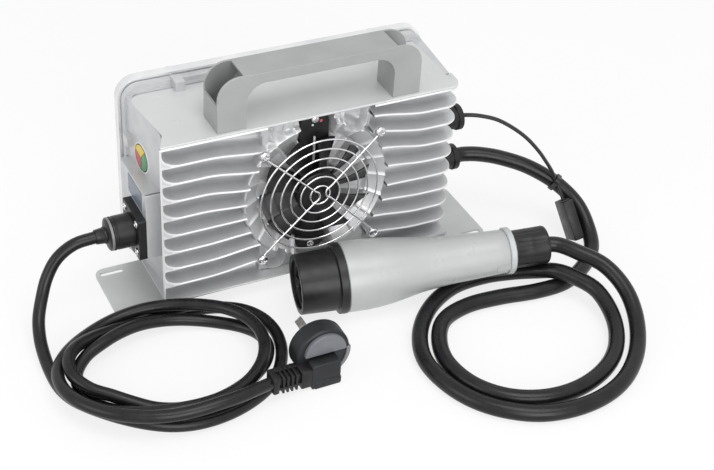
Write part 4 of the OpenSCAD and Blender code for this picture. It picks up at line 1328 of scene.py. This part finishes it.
# %% [markdown]
# ## The fan
# The rotor is one black moulding: a cup-shaped hub and ten blades that are twisted like a propeller's and
# swept a little. Each blade is a grid from hub to tip whose pitch eases outwards, with a thin rounded
# section. It rides on the body that turns, so nothing else of the scene may touch it.

# %% The rotor
BLADES = 10
HUB_R = 20.0
TIP_R = 49.8
BLADE_START = 4.0
BLADE_STEPS = 10
BLADE_POINTS = 20
BLADE_HALF = (7.6, 5.2)
BLADE_PITCH = (42, 12)
BLADE_SWEEP = 5
BLADE_THICK = 0.85
BLADE_CAMBER = 1.5
FAN_DEPTH = 6.4
FAN_LIMITS = (-5.35, 5.55)


def fan_blade(turn0):
    """One blade: two skins with a round leading edge, from the hub to the tip."""
    rings = []
    for i in range(BLADE_STEPS + 1):
        share = i / BLADE_STEPS
        radius = HUB_R - 0.6 + (TIP_R - HUB_R + 0.6) * share
        half = BLADE_HALF[0] + BLADE_HALF[1] * share
        pitch = math.radians(BLADE_PITCH[0] - BLADE_PITCH[1] * share)
        lean = math.radians(BLADE_SWEEP) * share
        ring = []
        for t in around(BLADE_POINTS):
            along = half * math.cos(t)
            lift = BLADE_THICK * math.sin(t) * (1 - 0.3 * share) + BLADE_CAMBER * (1 - (along / half) ** 2)
            a = along * math.cos(pitch) - lift * math.sin(pitch)
            d = max(FAN_LIMITS[0], min(FAN_LIMITS[1], along * math.sin(pitch) + lift * math.cos(pitch)))
            angle = turn0 + lean - a / radius
            ring.append(at(radius * math.cos(angle), FAN_DEPTH + d, FAN_Z + radius * math.sin(angle)))
        rings.append(ring)
    return skin(rings)


HUB_PROFILE = [(14.6, -11.4), (14.6, -11.38), (20, -11.4), (20, -2.6), (19.6, -1.4), (18.6, -0.75),
               (16, -0.6), (9, -0.6), (8.6, -0.9), (3.2, -0.9), (3.0, -0.6), (0.02, -0.6)]
blades = [fan_blade(math.radians(BLADE_START) + turn) for turn in around(BLADES)]
hub = turned([(r, -h) for r, h in HUB_PROFILE[::-1]], (0, 0, FAN_Z), (0, 1, 0), loop=False)
rotor = piece("fan_rotor_piece", joined(blades + [hub]), fan_plastic,
              ["fan_rotor"], body="fan")
print("rotor", len(rotor.data.polygons), "faces")

# %% [markdown]
# ## The output plug
# The output lead ends in a large round plug: a black collar with a flange, a light grey handle that swells
# and then tapers, a thin ring and a black clamping nut. All of it is turned work, so each piece is a
# profile of radii along the plug's axis. The handle of the real one is not quite round: its belly is
# fuller underneath, so its radius also changes a little with the angle.

# %% The axis of the plug
PLUG_AT = (2, -40, 31.2)
PLUG_TURN = math.radians(-10.8)
PLUG_RISE = math.radians(2.5)
PLUG_AXIS = (math.cos(PLUG_RISE) * math.cos(PLUG_TURN), math.cos(PLUG_RISE) * math.sin(PLUG_TURN),
             math.sin(PLUG_RISE))

# %% Collar, insert and contacts
COLLAR = [(21.5, -36.2), (22.3, -37), (25.4, -37), (26.0, -36.4), (26.25, -28), (26.8, -16), (27.1, -4.6),
          (27.5, -4.2), (30.0, -4), (30.6, -3.5), (30.9, 0), (30.8, 2.4), (30.2, 3), (20.2, 3), (20, 2.6),
          (20, -12), (21.5, -12)]
collar_mesh = turned(COLLAR, PLUG_AT, PLUG_AXIS, 96)
collar = piece("plug_collar_piece", collar_mesh, black_plastic, ["plug_collar"])

CONTACT_TURNS = [math.radians(a) for a in (90, 210, 330)]
CONTACT_OUT = 11
CONTACT_DEEP = -30
INSERT = [(21.3, -34), (21.45, -33.2), (21.45, -12.1), (0.02, -12.1), (0.02, -30.5), (5, -30.5), (5.4, -30),
          (6.6, -30), (15.6, -30), (16.6, -30), (16.8, -33.4), (17.2, -34)]
insert_mesh = turned(INSERT, PLUG_AT, PLUG_AXIS)
contact_axes = Vector(PLUG_AXIS).to_track_quat("Z", "Y").to_matrix()


def plug_place(radius, angle, along):
    """A place on the plug: how far from its axis, at what angle and how far along."""
    offset = contact_axes @ Vector((radius * math.cos(angle), radius * math.sin(angle), along))
    return (PLUG_AT[0] + offset.x, PLUG_AT[1] + offset.y, PLUG_AT[2] + offset.z)


SLEEVE = [(3.2, -3.8), (4.3, -3.8), (4.5, -3.4), (4.5, 2.5), (3.2, 2.5)]
TUBE = [(1.9, -3.2), (2.9, -3.2), (3.1, -2.9), (3.1, 8), (1.9, 8)]
contact_places = [plug_place(CONTACT_OUT, turn, CONTACT_DEEP) for turn in CONTACT_TURNS]
sleeves = [turned(SLEEVE, place, PLUG_AXIS, 32) for place in contact_places]
tubes = [turned(TUBE, place, PLUG_AXIS, 32) for place in contact_places]
insert_all = joined([insert_mesh] + sleeves)
insert = piece("plug_insert_piece", insert_all, black_plastic, ["plug_insert"])
contacts = piece("plug_contact_tubes", joined(tubes), brass, ["plug_contacts"])

# %% The handle, its clip, the ring and the nut
HANDLE = [(18, 3.2), (29.6, 3.2), (30.4, 3.9), (30.5, 12), (30.3, 22), (29.6, 32), (28.4, 43), (26.9, 54),
          (25.3, 64), (23.9, 74), (22.8, 86), (21.8, 98), (21.0, 112), (20.2, 126), (19.5, 140),
          (19.2, 149.4), (18.7, 150), (8.4, 150), (8.4, 146), (14, 140), (17, 20)]


def belly(angle, along, radius):
    """Fuller underneath in the front half, a little flatter on top."""
    if radius < 19:
        return 1
    under = max(0.0, -math.sin(angle))
    over = max(0.0, math.sin(angle))
    swell = math.exp(-((along - 38) / 22) ** 2)
    waist = math.exp(-((along - 92) / 26) ** 2)
    return 1 + 0.035 * under * swell - 0.035 * under * waist - 0.02 * over * waist


def clip_tongues():
    """The narrow tongues of the clip that holds the ring, on both sides of the handle."""
    tongues = []
    for middle in (math.radians(188), math.radians(8)):
        rings = [[at(*plug_place(radius, middle + off, along))
                  for radius, off in ((18.6, -0.16), (20.35, -0.16), (20.35, 0.16), (18.6, 0.16))]
                 for along in (137.5, 149.6)]
        tongues.append(skin(rings))
    return tongues


handle_all = joined([turned(HANDLE, PLUG_AT, PLUG_AXIS, 96, belly)] + clip_tongues())
handle_grey = piece("plug_handle_piece", handle_all, grey_plastic, ["plug_handle"])
RING = [(8.4, 150.1), (19.8, 150.1), (20.6, 150.9), (20.7, 154.6), (20.0, 155.5), (19.4, 155.7),
        (8.4, 155.7)]
ring_mesh = turned(RING, PLUG_AT, PLUG_AXIS, 96)
plug_ring = piece("plug_ring_piece", ring_mesh, pale_ring, ["plug_ring"])
NUT = [(8.3, 156), (16.2, 156), (16.9, 156.6), (17.0, 158), (16.8, 159.5), (16.8, 170), (16.95, 171.2),
       (16.8, 172.4), (16.9, 185), (17.0, 186.6), (16.4, 188), (15.4, 188.4), (7.3, 188.4), (7.1, 187.6),
       (7.1, 170), (8.3, 170)]


def nut_ribs(angle, along, radius):
    """Flat grips round the nut."""
    if radius < 16.5 or along < 159 or along > 186:
        return 1
    return 1 - 0.028 * max(0.0, math.cos(12 * angle)) ** 3


nut_mesh = turned(NUT, PLUG_AT, PLUG_AXIS, 144, nut_ribs)
plug_nut = piece("plug_nut_piece", nut_mesh, black_plastic, ["plug_nut"])

# %% [markdown]
# ## The mains plug
# The mains plug is a side-entry one that lies on its face edge: a slotted strain relief, a block with a
# sloping front, a round head with a cut-out half disc and three flat pins. It is built from outlines drawn
# in its own plane and given a thickness, with every edge rounded by a bevel.

# %% Outlines with a thickness
PLUG_FRAME = (-62, -120, 0)


def from_plug(x, y, z):
    """A place on the mains plug as a point of the frame."""
    return at(PLUG_FRAME[0] + x, PLUG_FRAME[1] + y, PLUG_FRAME[2] + z)


def slab(outline, y0, y1, width, segments=3, corner=25):
    """An outline in the plug's plane, thick from y0 to y1, with rounded edges. All in millimetres."""
    rows = [[from_plug(a, y, b) for a, b in outline] for y in (y0, y1)]
    return between(*rows, width, segments=segments, corner=corner)


def arc(cx, cz, radius, start, end, steps):
    """Points on an arc, angles in degrees."""
    turns = [math.radians(start + (end - start) * k / steps) for k in range(steps + 1)]
    return [(cx + radius * math.cos(t), cz + radius * math.sin(t)) for t in turns]


# %% The strain relief
RELIEF_SLOTS = 5
RELIEF_PITCH = 4.2


def relief_meshes():
    """A square collar at the mouth, ribs round a narrow core with slots between them, and a neck. The whole
    bows up and outwards a little, as the lead pulls it."""
    meshes = []

    def box(x0, x1, y0, y1, z0, z1, width):
        bow = ((x0 + x1) / 2 / 33) ** 2
        up, out = 5.6 * bow, -5.0 * bow
        outline = [(x0, z0 + up), (x1, z0 + up), (x1, z1 + up), (x0, z1 + up)]
        meshes.append(slab(outline, y0 + out, y1 + out, width, segments=2))

    box(-36.2, -30.4, -8.0, 7.6, 4.4, 20.2, 1.6)
    box(-9.8, 0.8, -8.4, 7.4, 3.2, 21.0, 1.4)
    for k in range(RELIEF_SLOTS):
        x = -30.8 + RELIEF_PITCH * k
        end = x + RELIEF_PITCH + 0.4
        box(x, end, -5.6, 5.4, 6.8, 17.8, 0.4)
        box(x, end, -7.9, -5.0, 8.2, 10.4, 0.4)
        box(x, end, 2.6, 7.4, 17.0, 20.0, 0.4)
        if k > 0:
            box(x - 0.8, x + 1.3, -7.9, 7.5, 4.2, 20.2, 0.6)
    return meshes


relief = piece("mains_relief_piece", joined(relief_meshes()), black_plastic, ["mains_relief"])

# %% The block and the head
BLOCK = [(-0.4, 0.4), (24.6, 0.4), (25.0, 1.4), (25.0, 21.0), (23.6, 24.6), (1.2, 24.6), (-0.4, 22.6)]
block_mesh = slab(BLOCK, -9.0, 7.6, 1.0)
BLOCK_FOOT = [(2.0, 0.35), (24.6, 0.35), (25.3, 2.0), (25.3, 7.5), (2.0, 7.5)]
foot_mesh = slab(BLOCK_FOOT, -9.6, 7.0, 0.7)
HEAD_CENTRE = (14.0, 24.4)
HEAD_R = 23.8
head_outline = [p for p in arc(*HEAD_CENTRE, HEAD_R, -88, 268, 72) if p[1] > 0.5]
head_mesh = slab(head_outline, 2.6, 19.8, 2.4, segments=5, corner=50)
body_mesh = joined([block_mesh, foot_mesh, head_mesh])
mains_plug = piece("mains_plug_piece", body_mesh, facet_block, ["mains_plug"])

# %% The half disc, the painted highlight on the edge and the pins
facet_outline = arc(15.0, 27.4, 18.2, 0, 180, 36)
facet_mesh = slab(facet_outline, -0.8, 3.4, 0.8, corner=40)
mains_cap = piece("mains_cap_facet", facet_mesh, facet_plastic, ["mains_cap"])
# Painted highlight: a pale sliver along the lower right edge of the round head, where light catches it.
crescent_outline = arc(*HEAD_CENTRE, 24.2, -66, 6, 24) + arc(9.6, 24.6, 25.0, 4, -58, 24)
crescent_mesh = slab(crescent_outline, 1.6, 9.5, 0.4, segments=2, corner=50)
crescent = piece("mains_plug_crescent", crescent_mesh, painted_edge_highlight, corner=math.radians(30))
PIN_SECTION = (1.8, 6.8)
PIN_FOOT = 18.8


def flat_pin(x, z, length, turn):
    """A flat pin with rounded edges, turned about its own length."""
    c, s = math.cos(math.radians(turn)), math.sin(math.radians(turn))
    half, thin = PIN_SECTION[0] / 2, PIN_SECTION[1] / 2
    outline = [(x + a * c - b * s, z + a * s + b * c)
               for a, b in ((-half, -thin), (half, -thin), (half, thin), (-half, thin))]
    return slab(outline, PIN_FOOT, length, 0.35, segments=2)


pin_meshes = [flat_pin(*pin) for pin in ((7.1, 36, 38, -48), (6.2, 15.5, 38, 48), (24, 26, 41, 90))]
pins = piece("mains_plug_pins", joined(pin_meshes), pin_metal, ["mains_pins"])

# %% The coupling's end ring and sleeve
CAP_AT = (-170.5, 43, 69)
RIM_AT = (-171.4, 43, 69)
CAP = [(5.2, 0), (13.7, 0), (14.0, 0.5), (14.0, 2.5), (13.5, 3.1), (7.0, 5.0), (5.2, 5.0)]
CAP_SLEEVE = [(5.3, 4.6), (7.4, 4.6), (7.4, 6.0), (6.9, 6.6), (6.2, 13.5), (5.3, 13.5)]
cap_mesh = turned(CAP, CAP_AT, LEFT)
# The pale rim is a painted highlight: a thin grey ring on the black end, where light catches its edge.
rim_mesh = flat_ring(12.9, 14.35, 1.7, RIM_AT, LEFT)
coupling_end = piece("coupling_end_disc", cap_mesh, black_plastic, ["coupling_cap"])
coupling_rim = piece("coupling_pale_rim", rim_mesh, painted_edge_highlight)
coupling_sleeve = piece("coupling_sleeve", turned(CAP_SLEEVE, CAP_AT, LEFT), black_plastic)

# %% [markdown]
# ## The in-line connector and the tie
# The signal lead ends in a small black housing that is tied to the output cable. It is a plain block with
# rounded edges and a low step on one end. The tie keeps its CAD shape.

# %% The small housing
BOX_PLACE = Matrix.Translation(at(242, -34.2, 23.8))
for angle, axis in ((-77, "Z"), (55, "Y"), (21, "X")):
    BOX_PLACE = BOX_PLACE @ Matrix.Rotation(math.radians(angle), 4, axis)
STEP_PLACE = BOX_PLACE @ Matrix.Translation(Vector((-17, 0, 1)) * MM)
box_mesh = joined([block((37.6, 9.8, 22.8), BOX_PLACE, 1.0), block((6, 8, 13), STEP_PLACE, 1.0)])
inline_box = piece("inline_box_piece", box_mesh, black_plastic, ["inline_box"])

# %% [markdown]
# ## The last fittings and the parts inside
# What is left of the CAD model keeps its shape: the cable glands, the coupling's body, the small panel, and
# the parts inside the closed case, which show only when it is opened. The screws of the base get the same
# head as the others. The inner parts each take the finish of what they are: a green board on steel posts,
# ferrite and enamelled copper, sleeved capacitors and a bare aluminium bar.

# %% Screws of the base
screws("base_screw_heads", [((x, y, 12.6), DOWN, 4.2, 2.0) for x in (-60, 60) for y in (32, 76)],
       screw_steel, "base_screws")

# %% Softened fittings
FITTINGS = [
    ("inlet_coupling", 0.4, black_plastic, "black"),
    ("signal_gland", 0.4, black_plastic, "black"),
    ("dc_gland", 0.4, black_plastic, "black"),
    ("inlet_panel", 0.15, panel_plastic, "facet"),
]
for node, width, material, slot in FITTINGS:
    part = piece(node + "_piece", softened(node, width, corner=24), material, [node], turn_out=False)
    even_shade(part.data, math.radians(32))

# %% The parts inside
INSIDE = {
    "circuit_board": board_green,
    "board_posts": bar_metal,
    "board_screws": screw_steel,
    "shell_screws": screw_steel,
    "transformer_core": ferrite,
    "transformer_coil": copper_wire,
    "choke_ring": copper_wire,
    "capacitors": can_sleeve,
    "heat_bar": bar_metal,
    "power_devices": black_plastic,
    "terminal_block": block_green,
    "fan_wire": wire_jacket,
}
for node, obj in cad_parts.items():
    if obj.hide_render:
        continue
    obj.data.materials.clear()
    obj.data.materials.append(INSIDE.get(node, black_plastic))
left_plain = [n for n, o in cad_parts.items() if not o.hide_render and n not in INSIDE]
print("CAD parts with a plain black finish:", left_plain)

# %% [markdown]
# ## Floor, light and background
# The charger was photographed on white with hardly any shadow. The floor is a pale matt sheet; for the
# camera and for reflections it also glows a little, so that it comes out white and only a soft shadow
# stays. The world does the same for what lies beyond the floor, and gives an even light from all round.
# Three soft square lamps light it: one above and a little in front, one on the left, and one in front.

# %% The floor
FLOOR_GLOW = 0.78


def seen_rays(tree):
    """The node that gives 1 for rays from the camera, from a gloss or through glass, otherwise 0."""
    rays = add_node(tree, "ShaderNodeLightPath", 0, 0)
    first = add_node(tree, "ShaderNodeMath", 1, 0, operation="ADD")
    second = add_node(tree, "ShaderNodeMath", 2, 0, operation="ADD", use_clamp=True)
    wire(tree, rays, "Is Camera Ray", first, 0)
    wire(tree, rays, "Is Glossy Ray", first, 1)
    wire(tree, first, "Value", second, 0)
    wire(tree, rays, "Is Transmission Ray", second, 1)
    return second


def floor_finish():
    """A pale matt floor that looks white and keeps a soft shadow."""
    material = bpy.data.materials.new("pale_floor")
    tree = emptied(material)
    share = add_node(tree, "ShaderNodeMath", 3, 0, {1: FLOOR_GLOW}, operation="MULTIPLY")
    matt = add_node(tree, "ShaderNodeBsdfDiffuse", 3, 1, {"Color": (0.86, 0.86, 0.86, 1)})
    glow = add_node(tree, "ShaderNodeEmission", 3, 2)
    mix = add_node(tree, "ShaderNodeMixShader", 4, 0)
    end = add_node(tree, "ShaderNodeOutputMaterial", 5, 0)
    wire(tree, seen_rays(tree), "Value", share, 0)
    wire(tree, share, "Value", mix, 0)
    wire(tree, matt, "BSDF", mix, 1)
    wire(tree, glow, "Emission", mix, 2)
    wire(tree, mix, "Shader", end, "Surface")
    return material


FLOOR_HALF = 4.0
FLOOR_Z = -0.0003
corners = [(FLOOR_HALF * x, FLOOR_HALF * y, FLOOR_Z) for x, y in ((-1, -1), (1, -1), (1, 1), (-1, 1))]
floor_mesh = mesh_of(corners, [(0, 1, 2, 3)])
floor_mesh.materials.append(floor_finish())
floor = bpy.data.objects.new("floor", floor_mesh)
bpy.context.scene.collection.objects.link(floor)

# %% The world and the lamps
WORLD_LIGHT = 0.62


def set_world():
    """White to look at, and a softer even light to see by."""
    world = bpy.data.worlds.new("studio")
    tree = emptied(world)
    level = add_node(tree, "ShaderNodeMapRange", 3, 0, {"To Min": WORLD_LIGHT, "To Max": 1.0})
    sky = add_node(tree, "ShaderNodeBackground", 4, 0, {"Color": (1, 1, 1, 1)})
    end = add_node(tree, "ShaderNodeOutputWorld", 5, 0)
    wire(tree, seen_rays(tree), "Value", level, "Value")
    wire(tree, level, "Result", sky, "Strength")
    wire(tree, sky, "Background", end, "Surface")
    bpy.context.scene.world = world


def add_lamp(name, place, size, watts):
    """A soft square lamp that looks at the middle of the charger."""
    lamp = bpy.data.lights.new(name, "AREA")
    lamp.size = size
    lamp.energy = watts
    holder = bpy.data.objects.new(name, lamp)
    holder.location = place
    holder.rotation_euler = (AIM - Vector(place)).to_track_quat("-Z", "Y").to_euler()
    bpy.context.scene.collection.objects.link(holder)


set_world()
add_lamp("key_lamp", (0.1, -0.9, 2.4), 1.4, 24)
add_lamp("left_lamp", (-2.1, -0.4, 1.0), 1.2, 10)
add_lamp("front_lamp", (-0.3, -2.4, 0.9), 1.5, 30)
bpy.context.scene.view_settings.view_transform = "Standard"
